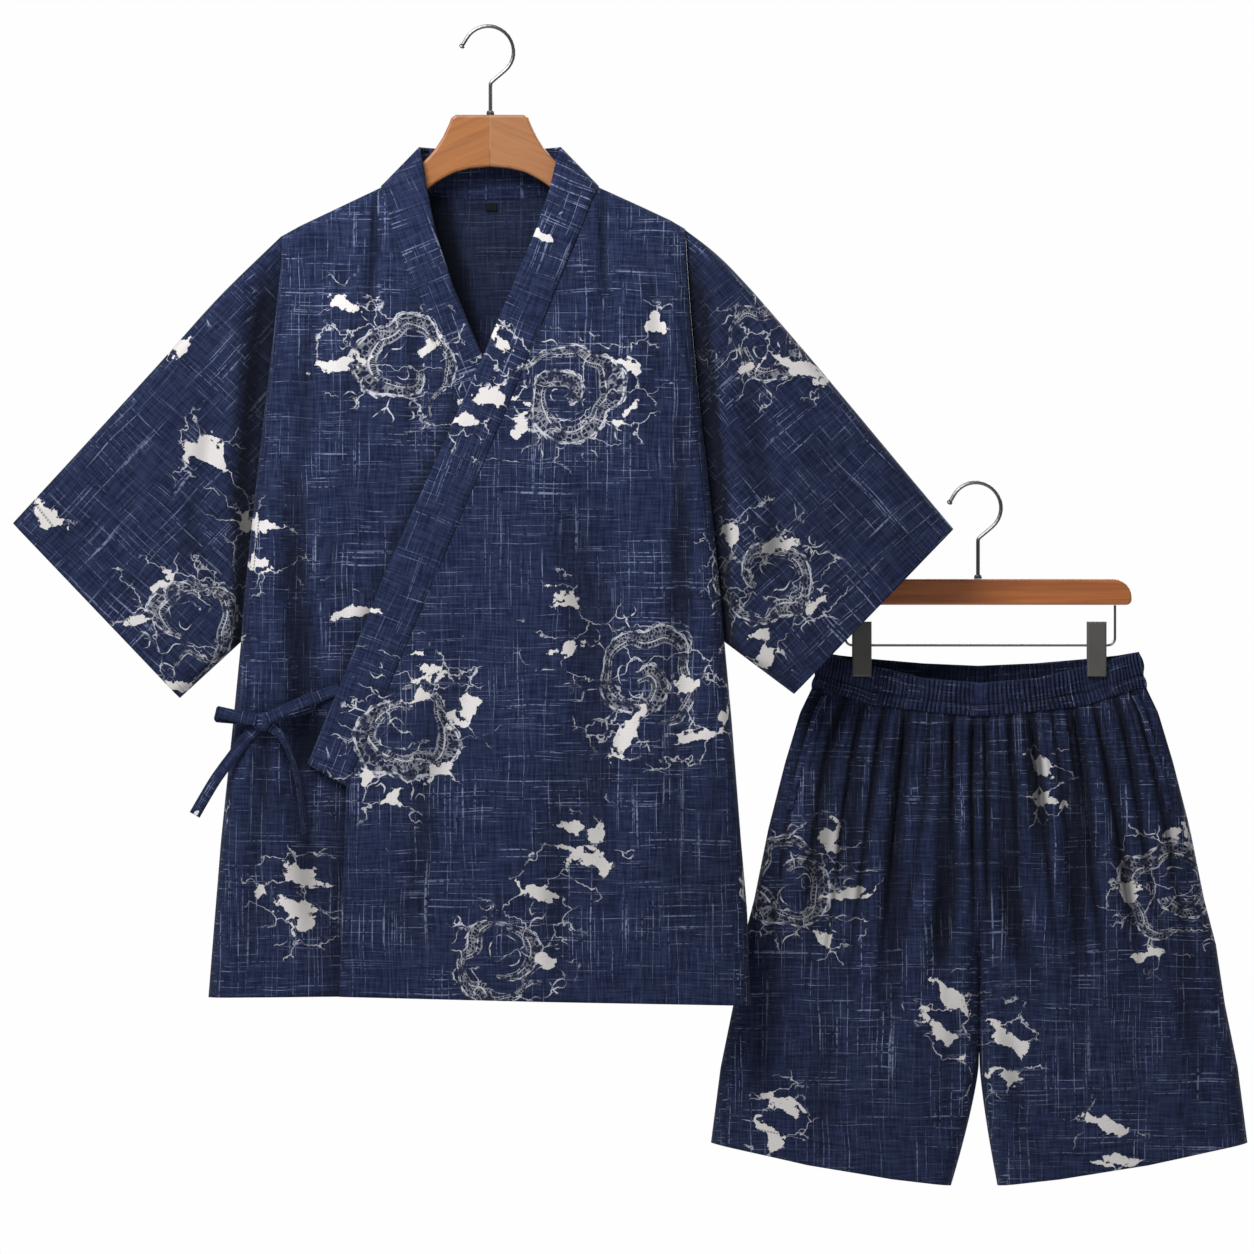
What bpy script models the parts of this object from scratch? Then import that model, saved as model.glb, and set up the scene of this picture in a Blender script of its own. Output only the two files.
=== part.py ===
"""A jinbei set: a wrap jacket on a wooden hanger, and elastic-waist shorts on a clip hanger.

The tables and sizes below are in millimetres, seen from the front: x to the right, z up from the
seat of the jacket hanger's hook, y away from the viewer. Left and right are as seen from the front.
"""

import math

import bmesh
import bpy
from mathutils import Vector
from mathutils.bvhtree import BVHTree

MM = 0.001

CLOTH = 1.5
BAND_CLOTH = 2.6
BAND_RAISE = 0.6
SEAM_GAP = 0.3
ARMHOLE_GAP = 0.8

# Jacket: how far the cloth stands from the middle plane, and how it rounds off at its edges.
SHOULDER_DEPTH = 12.0
BODY_DEPTH = 26.0
SHOULDER_ROUND = 14.0
SIDE_ROUND = 25.0
SHOULDER_TO_BODY = 140.0
ARMHOLE_DEPTH = 8.0
ARMHOLE_ROUND = 16.0
SLEEVE_DEPTH = 18.0
CUFF_DEPTH = 13.0
SLEEVE_SWELL = 45.0
SLEEVE_ROUND = 15.0
NECK_POINT = (108.0, -159.0)
NECK_PEAK = (70.0, -120.0)
NECK_FLAT = 50.0
COLLAR_LEAN = 0.72
SHOULDER_LEAN = 0.91
BACK_NECK_DROP = 11.5
BACK_COLLAR_DIP = 2.0
LAP_INSET = 5.5
LAP_LEAD = 20.0
LAP_WIDTH = 40.0

# Height and place of each edge of the jacket.
SHOULDER_LINE = (
    # x, z
    (-217.0, -213.0),
    (-190.0, -198.0),
    (-150.0, -179.0),
    (-108.0, -159.0),
    (108.0, -159.0),
    (150.0, -178.0),
    (180.0, -192.0),
    (209.0, -209.0),
)
SIDES = (
    # z, left, right
    (-160.0, -208.0, 192.0),
    (-205.0, -208.0, 195.5),
    (-235.0, -209.0, 197.0),
    (-291.0, -214.5, 201.0),
    (-355.0, -222.0, 207.0),
    (-437.0, -231.5, 217.0),
    (-512.0, -239.5, 225.0),
    (-560.0, -244.5, 230.0),
    (-614.0, -249.0, 234.5),
    (-690.0, -256.5, 241.5),
    (-812.0, -269.0, 251.0),
    (-880.0, -274.5, 257.0),
    (-980.0, -282.5, 261.0),
)
UNDERARM = -614.0
HEM = (
    # x, z
    (-282.0, -969.0),
    (-150.0, -968.0),
    (46.0, -973.0),
    (261.0, -977.0),
)
# The neck band: its seam with the fronts and its free edge, on the over and the under front.
BAND_SEAM = (
    # z, over, under
    (-159.0, 108.0, -108.0),
    (-200.0, 91.5, -97.0),
    (-312.0, 46.0, -58.5),
    (-758.0, -143.0, 129.0),
    (-980.0, -150.5, 136.5),
)
BAND_EDGE = (
    # z, over, under
    (-120.0, 70.0, -70.0),
    (-161.0, 60.5, -63.5),
    (-205.0, 46.0, -54.5),
    (-260.0, 23.0, -37.0),
    (-331.0, -7.0, -7.0),
    (-532.0, -98.0, 84.0),
    (-736.0, -181.0, 167.0),
)
BAND_END = (-758.0, -736.0)
# Rows of a panel: first by distance below its top edge, then by share of its height.
PANEL_DROPS = (0.0, 0.8, 3.0, 7.0, 13.0, 26.0)
PANEL_SHARES = (0.08, 0.16, 0.25, 0.35, 0.44, 0.51, 0.528, 0.63, 0.74, 0.87, 1.0)
# The largest soft folds: x at the top and foot, height of the top and foot, width, and depth,
# which is positive for a ridge and negative for a trough.
JACKET_FOLDS = (
    # x_top, x_foot, z_top, z_foot, width, depth
    (-122.0, -128.0, -190.0, -420.0, 16.0, -3.0),
    (-148.0, -160.0, -215.0, -520.0, 18.0, 2.5),
    (116.0, 112.0, -190.0, -430.0, 16.0, -3.0),
    (143.0, 150.0, -215.0, -520.0, 18.0, 2.5),
    (100.0, 112.0, -400.0, -900.0, 26.0, -3.5),
    (-186.0, -196.0, -520.0, -900.0, 24.0, -2.5),
    (30.0, 20.0, -560.0, -960.0, 30.0, 2.5),
    (180.0, 200.0, -600.0, -960.0, 24.0, -2.5),
)

SLEEVES = {
    "sleeve_left": {
        "side": -1,
        "upper": ((-208.5, -208.0), (-272.0, -270.0), (-333.0, -338.0), (-408.0, -420.0), (-477.0, -495.0)),
        "lower": ((-249.0, -614.0), (-310.0, -670.0)),
    },
    "sleeve_right": {
        "side": 1,
        "upper": ((195.5, -202.0), (239.0, -238.0), (311.0, -319.0), (409.0, -436.0), (463.5, -501.0)),
        "lower": ((234.5, -614.0), (304.0, -666.0)),
    },
}

# Bow at the under front: a strap 11.5 mm wide, folded and stitched flat.
STRAP_WIDTH = 11.5
STRAP_THICK = 1.6
STRAP_CLEAR = 0.6
KNOT_CENTRE = (-224.5, -692.0)
KNOT_SIZE = (10.0, 6.0, 11.0)
LOOP_GAP = 5.0
TIE_PATH = ((-150.0, -662.0), (-162.0, -665.0), (-176.0, -671.5), (-190.0, -678.0), (-203.0, -684.0))
LEFT_LOOP = {"start": (-233.9, -690.3), "end": (-273.0, -684.0), "drop": 3.0, "lift": 0.0}
RIGHT_LOOP = {"start": (-215.8, -688.5), "end": (-175.0, -669.5), "drop": 3.5, "lift": 3.0}
LEFT_TAIL = ((-231.0, -701.5), (-247.0, -715.0), (-262.0, -732.0), (-278.0, -757.0), (-294.0, -787.5))
RIGHT_TAIL = (
    (-214.0, -700.5),
    (-203.0, -713.0),
    (-193.0, -733.0),
    (-186.0, -760.0),
    (-182.0, -785.0),
    (-179.0, -808.0),
)

LABEL_CENTRE = (1.0, -178.0)
LABEL_SIZE = (12.0, 8.0)
LABEL_THICK = 0.8
LABEL_CLEAR = 0.4

# Shorts: half widths from their own middle line, at each height.
SHORTS_MIDDLE = 491.0
SHORTS_BACK = 52.0
SHORTS_HALF_WIDTH = (
    # z, half_width
    (-620.0, 160.0),
    (-660.0, 168.0),
    (-685.0, 180.0),
    (-735.0, 195.0),
    (-802.0, 212.0),
    (-872.0, 226.0),
    (-918.0, 238.0),
    (-978.0, 247.0),
    (-1042.0, 260.0),
    (-1120.0, 270.0),
    (-1170.0, 275.0),
)
# Waistband edges, by distance from the middle line: the front sags more than the back.
WAIST_EDGES = (
    # from_middle, front_top, back_top, seam
    (0.0, -655.0, -638.0, -689.0),
    (56.0, -650.5, -635.5, -684.0),
    (108.0, -637.5, -631.0, -678.0),
    (140.0, -629.0, -627.5, -667.0),
    (160.0, -624.0, -624.0, -660.0),
    (180.0, -624.0, -624.0, -660.0),
)
CROTCH = -927.0
LEGS_PART = -1038.0
LEG_GAP_AT_HEM = {-1: 28.0, 1: 18.0}
LEG_HEM = (
    # share of the way from the side to the inner edge, z
    (0.0, -1117.0),
    (0.4, -1139.0),
    (0.75, -1153.0),
    (1.0, -1160.0),
)
WAIST_DEPTH = 9.0
LEG_DEPTH = 24.0
WAIST_TO_LEG = 150.0
LEG_ROUND = 22.0
CLIP_FROM_MIDDLE = 118.0
CLIP_PINCH = 2.9
CLIP_HALF_FLAT = 11.0
WAIST_OPEN = 15.0
WAIST_ROUND = 9.0
BAND_RIBS = 72
RIB_RAISE = 0.9
LEG_SEAM_GAP = 0.8
WAIST_WALL = 2.0
LEG_GATHERS = 12
GATHER_RAISE = 2.3
GATHER_LENGTH = 240.0
POCKET_TOP = -668.0
POCKET_FOOT = -783.0
POCKET_INSET = 13.0
POCKET_WIDTH = 6.0
POCKET_THICK = 1.0
POCKET_CLEAR = 0.7

# Hangers.
WIRE = 1.9
HOOK_RADIUS = 25.4
HOOK_OFFSET = -1.7
STEM_OFFSET = 0.5
BALL = 1.5
FERRULE_RADIUS = 3.9
FERRULE_HEIGHT = 4.0
WOOD_TOP = -87.0
WOOD_HALF_THICK = 6.5
WOOD_OUTLINE = (
    # from_middle, top, foot
    (0.0, -87.0, -138.7),
    (20.0, -87.0, -140.5),
    (34.0, -87.0, -144.0),
    (38.5, -90.0, -146.0),
    (41.5, -97.5, -147.5),
    (47.0, -109.0, -150.5),
    (53.5, -119.5, -154.5),
    (61.0, -128.5, -160.0),
    (75.0, -142.0, -169.0),
    (95.0, -158.5, -183.0),
    (120.0, -171.9, -200.0),
    (160.0, -190.2, -221.0),
    (182.0, -200.8, -232.0),
    (190.0, -207.6, -231.5),
    (193.5, -214.0, -226.5),
)
SHORTS_HOOK_SEAT = (489.3, -455.6)
BAR_LEFT = 340.0
BAR_RIGHT = 644.0
BAR_TOP = -550.8
BAR_FOOT = -576.8
BAR_HALF_THICK = 6.5
BAR_CORNER = 18.0
BAR_FOOT_CORNER = 5.0
RAIL_WIRE = 1.25
RAIL_LEFT = 356.5
RAIL_RIGHT = 627.5
RAIL_HEIGHT = -617.4
RAIL_BEND = 7.0
CLIP_WIDTH = 19.5
CLIP_TOP = -593.5
CLIP_FOOT = -648.8
CLIP_OUTER = 8.0
CLIP_ON_RAIL = 1.6
CLIP_ON_CLOTH = 4.1


def quarter_round(share):
    """Height of a quarter circle, 0 to 1, above its edge."""
    share = min(max(share, 0.0), 1.0)
    return math.sqrt(1.0 - (1.0 - share) ** 2)


def ease(share):
    """Smooth step from 0 to 1."""
    share = min(max(share, 0.0), 1.0)
    return share * share * (3.0 - 2.0 * share)


def reading(rows, key, column=1):
    """A table's column, read between its rows by the value in its first column."""
    if (rows[0][0] - rows[-1][0]) * (key - rows[0][0]) >= 0:
        return rows[0][column]
    for low, high in zip(rows, rows[1:]):
        if min(low[0], high[0]) <= key <= max(low[0], high[0]):
            share = (key - low[0]) / (high[0] - low[0])
            return low[column] + share * (high[column] - low[column])
    return rows[-1][column]


def on_path(points, share):
    """A point on a smooth curve through the given points, at a share of the way along them."""
    spans = len(points) - 1
    place = min(max(share, 0.0), 1.0) * spans
    at = min(int(place), spans - 1)
    t = place - at
    near, far = points[at], points[at + 1]
    before = points[max(at - 1, 0)]
    after = points[min(at + 2, spans)]
    found = []
    for p0, p1, p2, p3 in zip(before, near, far, after):
        slope = p2 - p0
        bend = 2 * p0 - 5 * p1 + 4 * p2 - p3
        twist = 3 * p1 - p0 - 3 * p2 + p3
        found.append(0.5 * (2 * p1 + slope * t + bend * t**2 + twist * t**3))
    return found


def material(name, colour, roughness, metallic=0.0):
    made = bpy.data.materials.new(name)
    made.use_nodes = True
    shader = made.node_tree.nodes["Principled BSDF"]
    shader.inputs["Base Color"].default_value = (*colour, 1.0)
    shader.inputs["Roughness"].default_value = roughness
    shader.inputs["Metallic"].default_value = metallic
    return made


def finish(name, mesh, finish_material, smooth=True):
    """Closes a bmesh in millimetres into a named object in metres."""
    bmesh.ops.recalc_face_normals(mesh, faces=mesh.faces)
    bmesh.ops.scale(mesh, vec=(MM, MM, MM), verts=mesh.verts)
    data = bpy.data.meshes.new(name)
    mesh.to_mesh(data)
    mesh.free()
    if smooth:
        data.shade_smooth()
        data.set_sharp_from_angle(angle=math.radians(40))
    data.materials.append(finish_material)
    made = bpy.data.objects.new(name, data)
    bpy.context.scene.collection.objects.link(made)
    return made


def outward_normals(grid, ring, out):
    """The normal at each point of a grid of rows, turned to the side of the point that out gives."""
    rows, columns = len(grid), len(grid[0])
    normals = []
    for i in range(rows):
        line = []
        for j in range(columns):
            if ring:
                before, after = grid[i][j - 1], grid[i][(j + 1) % columns]
            else:
                before, after = grid[i][max(j - 1, 0)], grid[i][min(j + 1, columns - 1)]
            below, above = grid[min(i + 1, rows - 1)][j], grid[max(i - 1, 0)][j]
            normal = (after - before).cross(above - below).normalized()
            if normal.dot(out(grid[i][j])) < 0:
                normal = -normal
            line.append(normal)
        normals.append(line)
    return normals


def wall(name, outer, inner, finish_material, ring=False):
    """A closed wall between two grids of points; a ring closes each row on itself.

    The inner grid may have fewer rows and a column for each second outer one.
    """
    mesh = bmesh.new()
    outside = [[mesh.verts.new(point) for point in row] for row in outer]
    inside = [[mesh.verts.new(point) for point in row] for row in inner]
    for grid in (outside, inside):
        columns = len(grid[0])
        for upper, lower in zip(grid, grid[1:]):
            for j in range(columns if ring else columns - 1):
                after = (j + 1) % columns
                mesh.faces.new((upper[j], upper[after], lower[after], lower[j]))
    step = len(outside[0]) // len(inside[0])
    for outer_rim, inner_rim in ((outside[0], inside[0]), (outside[-1], inside[-1])):
        count = len(inner_rim)
        for k in range(count if ring else count - 1):
            rim = [outer_rim[(k * step + extra) % len(outer_rim)] for extra in range(step + 1)]
            mesh.faces.new((*rim, inner_rim[(k + 1) % count], inner_rim[k]))
    if not ring:
        for column in (0, -1):
            for i in range(len(outside) - 1):
                near = (outside[i][column], inside[i][column])
                far = (outside[i + 1][column], inside[i + 1][column])
                mesh.faces.new((near[0], far[0], far[1], near[1]))
    return finish(name, mesh, finish_material)


def top_line(x):
    """Height of the shoulder at x, carried on up the collar's slope and level across the neck."""
    if abs(x) >= NECK_POINT[0]:
        return reading(SHOULDER_LINE, x)
    slope = (NECK_PEAK[1] - NECK_POINT[1]) / (NECK_POINT[0] - NECK_PEAK[0])
    return NECK_POINT[1] + (NECK_POINT[0] - max(abs(x), NECK_FLAT)) * slope


def jacket_depth(x, z):
    """How far the jacket's outer face stands from its middle plane."""
    near_side = min(x - reading(SIDES, z, 1), reading(SIDES, z, 2) - x)
    drop = top_line(x) - z
    lean = COLLAR_LEAN if abs(x) < NECK_POINT[0] else SHOULDER_LEAN
    armhole = ARMHOLE_DEPTH * quarter_round((z - UNDERARM) / ARMHOLE_ROUND)
    full = SHOULDER_DEPTH + (BODY_DEPTH - SHOULDER_DEPTH) * ease(drop / SHOULDER_TO_BODY)
    depth = armhole + (full - armhole) * quarter_round(near_side / SIDE_ROUND)
    for x_top, x_foot, z_top, z_foot, width, rise in JACKET_FOLDS:
        share = (z_top - z) / (z_top - z_foot)
        if 0.0 < share < 1.0:
            across = (x - x_top - share * (x_foot - x_top)) / width
            depth += rise * math.exp(-across * across) * math.sin(math.pi * share) * ease(near_side / 40.0)
    return 0.5 * SEAM_GAP + depth * quarter_round(lean * drop / SHOULDER_ROUND)


def under_depth(x, z):
    """The under front's outer face, which sinks where the over front laps it."""
    past_edge = 0.9 * (x - reading(BAND_EDGE, z, 1))
    if z < BAND_END[1]:
        past_edge = x - reading(BAND_SEAM, z, 1)
        past_edge += (reading(BAND_SEAM, z, 1) - BAND_EDGE[-1][1]) * (1.0 - ease((BAND_END[1] - z) / 40.0))
    return jacket_depth(x, z) - LAP_INSET * ease((past_edge + LAP_LEAD + LAP_WIDTH) / LAP_WIDTH)


def spread(left, right, fine_left, fine_right, count):
    """Places from left to right: fine steps in from a rounded edge, and even ones between."""
    start = left + (fine_left[-1] if fine_left else 0.0)
    end = right - (fine_right[-1] if fine_right else 0.0)
    places = [left + step for step in fine_left[:-1]]
    places += [start + (end - start) * k / count for k in range(count + 1)]
    places += [right - step for step in reversed(fine_right[:-1])]
    return places


def panel(name, left_edge, right_edge, top_edge, depth, side, fine, columns, cloth):
    """A front (side -1) or the back (side 1), from its edges and its depth."""
    across = [k / columns for k in range(columns + 1)]
    top_left, top_right = left_edge(NECK_POINT[1]), right_edge(NECK_POINT[1])
    grid = []
    for level in range(len(PANEL_DROPS) + len(PANEL_SHARES)):
        heights = []
        for share in across:
            x = top_left + (top_right - top_left) * share
            top = top_edge(x)
            foot = reading(HEM, x)
            if level < len(PANEL_DROPS):
                heights.append(top - PANEL_DROPS[level])
            else:
                heights.append(top + (foot - top) * PANEL_SHARES[level - len(PANEL_DROPS)])
        left, right = left_edge(heights[0]), right_edge(heights[-1])
        row = []
        for x in spread(left, right, fine[0], fine[1], columns):
            share = (x - left) / (right - left) * columns
            at = min(int(share), columns - 1)
            z = heights[at] + (heights[at + 1] - heights[at]) * (share - at)
            row.append(Vector((x, side * depth(x, z), z)))
        grid.append(row)
    normals = outward_normals(grid, False, lambda point: Vector((0.02 * point.x, side * 1.0, 0.02)))
    inner = []
    for row, row_normals in zip(grid, normals):
        line = []
        for point, normal in zip(row, row_normals):
            moved = point - CLOTH * normal
            moved.y = side * max(side * moved.y, 0.5 * SEAM_GAP)
            line.append(moved)
        inner.append(line)
    wall(name, grid, inner, cloth)
    return grid


def back_neck(x):
    """Height of the back neck seam."""
    share = min(abs(x) / NECK_POINT[0], 1.0)
    return NECK_POINT[1] - BACK_NECK_DROP * (1.0 - share**2)


def build_body(cloth):
    """The back and both fronts; returns the points of the under front, which the bow lies on."""
    fine = (0.0, 1.6, 6.5, 14.0, 25.0)

    def left_side(z):
        return reading(SIDES, z, 1)

    def right_side(z):
        return reading(SIDES, z, 2)

    def over_edge(z):
        return reading(BAND_SEAM, z, 1) + 2 * SEAM_GAP

    def under_edge(z):
        return reading(BAND_SEAM, z, 2) - 2 * SEAM_GAP

    def back_top(x):
        if abs(x) > NECK_POINT[0]:
            return top_line(x)
        return back_neck(x) - 2 * SEAM_GAP

    panel("back", left_side, right_side, back_top, jacket_depth, 1, (fine, fine), 14, cloth)
    panel("front_over", over_edge, right_side, top_line, jacket_depth, -1, ((), fine), 10, cloth)
    return panel("front_under", left_side, under_edge, top_line, under_depth, -1, (fine, ()), 10, cloth)


def build_collar(cloth):
    """One strip: up the over front, round the back neck and down the under front."""
    stations = []
    rises = (BAND_END[0] - NECK_POINT[1], BAND_END[1] - NECK_PEAK[1])
    panel_height = reading(HEM, BAND_SEAM[-1][1]) - NECK_POINT[1]
    front_shares = [share * panel_height / rises[0] for share in reversed(PANEL_SHARES)]
    front_shares = [min(share, 1.0) for share in front_shares if share < 1.01]
    front_shares += [-drop / rises[0] for drop in reversed(PANEL_DROPS[1:])]

    def front_station(share, column, depth):
        z_seam = NECK_POINT[1] + share * rises[0]
        z_edge = NECK_PEAK[1] + share * rises[1]
        seam = (reading(BAND_SEAM, z_seam, column), z_seam)
        edge = (reading(BAND_EDGE, z_edge, column), z_edge)
        return seam, edge, -1, depth

    stations += [front_station(share, 1, jacket_depth) for share in front_shares]
    stations.append((NECK_POINT, NECK_PEAK, 0, jacket_depth))
    turns = 12
    for k in range(1, turns):
        across = math.cos(math.pi * k / turns)
        seam_x = NECK_POINT[0] * across
        edge_x = NECK_PEAK[0] * across
        edge_z = NECK_PEAK[1] - BACK_COLLAR_DIP * (1.0 - across**2)
        stations.append(((seam_x, back_neck(seam_x)), (edge_x, edge_z), 1, jacket_depth))
    stations.append(((-NECK_POINT[0], NECK_POINT[1]), (-NECK_PEAK[0], NECK_PEAK[1]), 0, jacket_depth))
    stations += [front_station(share, 2, under_depth) for share in reversed(front_shares)]
    grid = []
    for seam, edge, side, depth in stations:
        row = []
        for share in (0.0, 0.12, 0.5, 0.88, 1.0):
            x = seam[0] + (edge[0] - seam[0]) * share
            z = seam[1] + (edge[1] - seam[1]) * share
            row.append(Vector((x, side * depth(x, z), z)))
        grid.append(row)
    normals = outward_normals(grid, False, lambda point: Vector((0.012 * point.x, point.y, 0.1)))
    outer, inner = [], []
    for row, row_normals in zip(grid, normals):
        outer.append([point + BAND_RAISE * normal for point, normal in zip(row, row_normals)])
        inner.append([point - (BAND_CLOTH - BAND_RAISE) * normal for point, normal in zip(row, row_normals)])
    wall("collar", outer, inner, cloth)


def build_sleeve(name, side, upper, lower, cloth):
    """A tube from the armhole to the cuff, its flat shape filled in between its four edges."""
    column = 1 if side < 0 else 2
    cuff = (upper[-1], lower[-1])
    shoulder_z, underarm_z = upper[0][1], lower[0][1]

    def armhole(share):
        z = shoulder_z + share * (underarm_z - shoulder_z)
        return Vector((reading(SIDES, z, column) + side * ARMHOLE_GAP, z))

    def between(first, last, share):
        return Vector(first) + (Vector(last) - Vector(first)) * share

    def flat_point(along, across):
        top = Vector(on_path(upper, along))
        foot = between(lower[0], lower[-1], along)
        corners = between(
            between(armhole(0.0), armhole(1.0), across), between(cuff[0], cuff[1], across), along
        )
        sides = between(top, foot, across)
        ends = between(armhole(across), between(cuff[0], cuff[1], across), along)
        return sides + ends - corners

    sections = (0.0, 0.025, 0.07, 0.14, 0.26, 0.42, 0.6, 0.8, 1.0)
    fine = (0.0, 0.9, 3.6, 8.0, 15.0)
    grid = []
    for along in sections:
        length = (flat_point(along, 1.0) - flat_point(along, 0.0)).length
        reach = (flat_point(1.0, 0.5) - flat_point(0.0, 0.5)).length
        down = spread(0.0, length, fine, fine, 5)
        swell = ease(along * reach / SLEEVE_SWELL)
        full = ARMHOLE_DEPTH + (SLEEVE_DEPTH - ARMHOLE_DEPTH) * swell
        full += (CUFF_DEPTH - SLEEVE_DEPTH) * ease((along - 0.4) / 0.6)
        ring = []
        for front in (-1, 1):
            for place in down[:-1] if front < 0 else reversed(down[1:]):
                rounding = quarter_round(place / SLEEVE_ROUND)
                rounding *= quarter_round((length - place) / SLEEVE_ROUND)
                flat = flat_point(along, place / length)
                ring.append(Vector((flat.x, front * full * rounding, flat.y)))
        grid.append(ring)
    middles = [sum(row, Vector()) / len(row) for row in grid]
    normals = outward_normals(grid, True, lambda point: Vector((0.0, 0.0, 0.0)))
    inner = []
    for row, row_normals, middle in zip(grid, normals, middles):
        line = []
        for point, normal in zip(row, row_normals):
            if normal.dot(point - middle) < 0:
                normal = -normal
            line.append(point - CLOTH * normal)
        inner.append(line)
    wall(name, grid, inner, cloth, ring=True)


def ribbon(name, points, widths, cloth):
    """A flat strap along points, with its width along the vector given at each of them."""
    mesh = bmesh.new()
    last = len(points) - 1
    sections = []
    for k, point in enumerate(points):
        tangent = (points[min(k + 1, last)] - points[max(k - 1, 0)]).normalized()
        across = widths[k].normalized()
        normal = tangent.cross(across).normalized()
        half, thick = 0.5 * STRAP_WIDTH * across, 0.5 * STRAP_THICK * normal
        corners = (half + thick, thick - half, -half - thick, half - thick)
        sections.append([mesh.verts.new(point + corner) for corner in corners])
    for near, far in zip(sections, sections[1:]):
        for k in range(4):
            after = (k + 1) % 4
            mesh.faces.new((near[k], near[after], far[after], far[k]))
    mesh.faces.new(sections[0])
    mesh.faces.new(reversed(sections[-1]))
    finish(name, mesh, cloth)


def surface_of(grid):
    """A grid of points as a surface that a strap can be laid on."""
    columns = len(grid[0])
    points = [point for row in grid for point in row]
    faces = []
    for i in range(len(grid) - 1):
        for j in range(columns - 1):
            first = i * columns + j
            faces.append((first, first + 1, first + columns + 1, first + columns))
    return BVHTree.FromPolygons(points, faces)


def height_over(surface, x, z):
    """How far the surface stands out to the front at a place, or 0 beside it."""
    hit = surface.ray_cast(Vector((x, -200.0, z)), Vector((0.0, 1.0, 0.0)))[0]
    return -hit.y if hit else 0.0


def lying_strap(name, path, steps, hump, surface, cloth):
    """A strap that lies on a surface along a path seen from the front, and hangs free beside it."""
    points, widths = [], []
    free_fall = 1.6
    before = 0.0
    for k in range(steps + 1):
        x, z = on_path(path, k / steps)
        ahead = on_path(path, min((k + 1) / steps, 1.0))
        behind = on_path(path, max((k - 1) / steps, 0.0))
        direction = Vector((ahead[0] - behind[0], 0.0, ahead[1] - behind[1])).normalized()
        across = Vector((direction.z, 0.0, -direction.x))
        rest = before - free_fall
        for share in (-0.6, -0.3, 0.0, 0.3, 0.6):
            for ahead_by in (-1.0, -0.5, 0.0, 0.5, 1.0):
                place = on_path(path, min(max((k + ahead_by) / steps, 0.0), 1.0))
                side = share * STRAP_WIDTH * across
                rest = max(rest, height_over(surface, place[0] + side.x, place[1] + side.z))
        before = rest
        lift = hump * math.sin(math.pi * (0.08 + 0.92 * k / steps))
        points.append(Vector((x, -(rest + STRAP_CLEAR + 0.5 * STRAP_THICK + lift), z)))
        widths.append(across)
    ribbon(name, points, widths, cloth)


def bow_loop(name, start, end, drop, lift, surface, cloth):
    """A strap that runs out from the knot, turns back on itself and returns behind."""
    first, last = Vector((start[0], 0.0, start[1])), Vector((end[0], 0.0, end[1]))
    along = (last - first).normalized()
    across = Vector((along.z, 0.0, -along.x))
    rest = height_over(surface, start[0], start[1]) + STRAP_CLEAR + 0.5 * STRAP_THICK
    turn = 0.5 * LOOP_GAP
    length = (last - first).length - turn
    places = [(share * length, turn) for share in (0.0, 0.25, 0.5, 0.75)]
    for k in range(7):
        angle = math.pi * (0.5 - k / 6)
        places.append((length + turn * math.cos(angle), turn * math.sin(angle)))
    places += [(share * length, -turn) for share in (0.75, 0.5, 0.25, 0.08)]
    points, widths = [], []
    for distance, out in places:
        swell = 1.0 + 0.9 * math.sin(math.pi * min(distance / length, 1.0))
        fall = drop * (0.5 - 0.5 * out / turn) * distance / length
        point = first + along * distance
        point.y = -(rest + lift + turn * 1.9 + out * swell)
        point.z -= fall
        points.append(point)
        widths.append(across)
    ribbon(name, points, widths, cloth)


def build_bow(under_front, cloth):
    surface = surface_of(under_front)
    lying_strap("tie_strap", TIE_PATH, 7, 0.0, surface, cloth)
    bow_loop("bow_loop_left", **LEFT_LOOP, surface=surface, cloth=cloth)
    bow_loop("bow_loop_right", **RIGHT_LOOP, surface=surface, cloth=cloth)
    lying_strap("bow_tail_left", LEFT_TAIL, 8, 1.0, surface, cloth)
    lying_strap("bow_tail_right", RIGHT_TAIL, 10, 2.0, surface, cloth)
    mesh = bmesh.new()
    bmesh.ops.create_icosphere(mesh, subdivisions=2, radius=1.0)
    bmesh.ops.scale(mesh, vec=KNOT_SIZE, verts=mesh.verts)
    rest = height_over(surface, *KNOT_CENTRE) + STRAP_CLEAR + KNOT_SIZE[1]
    bmesh.ops.translate(mesh, vec=(KNOT_CENTRE[0], -rest, KNOT_CENTRE[1]), verts=mesh.verts)
    finish("bow_knot", mesh, cloth)


def box_between(name, low, high, rounding, finish_material):
    """A box between two corners, with rounded edges."""
    mesh = bmesh.new()
    bmesh.ops.create_cube(mesh, size=1.0)
    size = [b - a for a, b in zip(low, high)]
    bmesh.ops.scale(mesh, vec=size, verts=mesh.verts)
    bmesh.ops.translate(mesh, vec=[0.5 * (a + b) for a, b in zip(low, high)], verts=mesh.verts)
    if rounding:
        bmesh.ops.bevel(mesh, geom=mesh.edges[:], offset=rounding, segments=2, profile=0.5, affect="EDGES")
    finish(name, mesh, finish_material)


def build_label(label_cloth):
    x, z = LABEL_CENTRE
    far = jacket_depth(x, z + 0.5 * LABEL_SIZE[1]) - CLOTH - LABEL_CLEAR
    low = (x - LABEL_SIZE[0] / 2, far - LABEL_THICK, z - LABEL_SIZE[1] / 2)
    high = (x + LABEL_SIZE[0] / 2, far, z + LABEL_SIZE[1] / 2)
    box_between("neck_label", low, high, 0.0, label_cloth)


def shorts_half(z):
    return reading(SHORTS_HALF_WIDTH, z)


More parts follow.
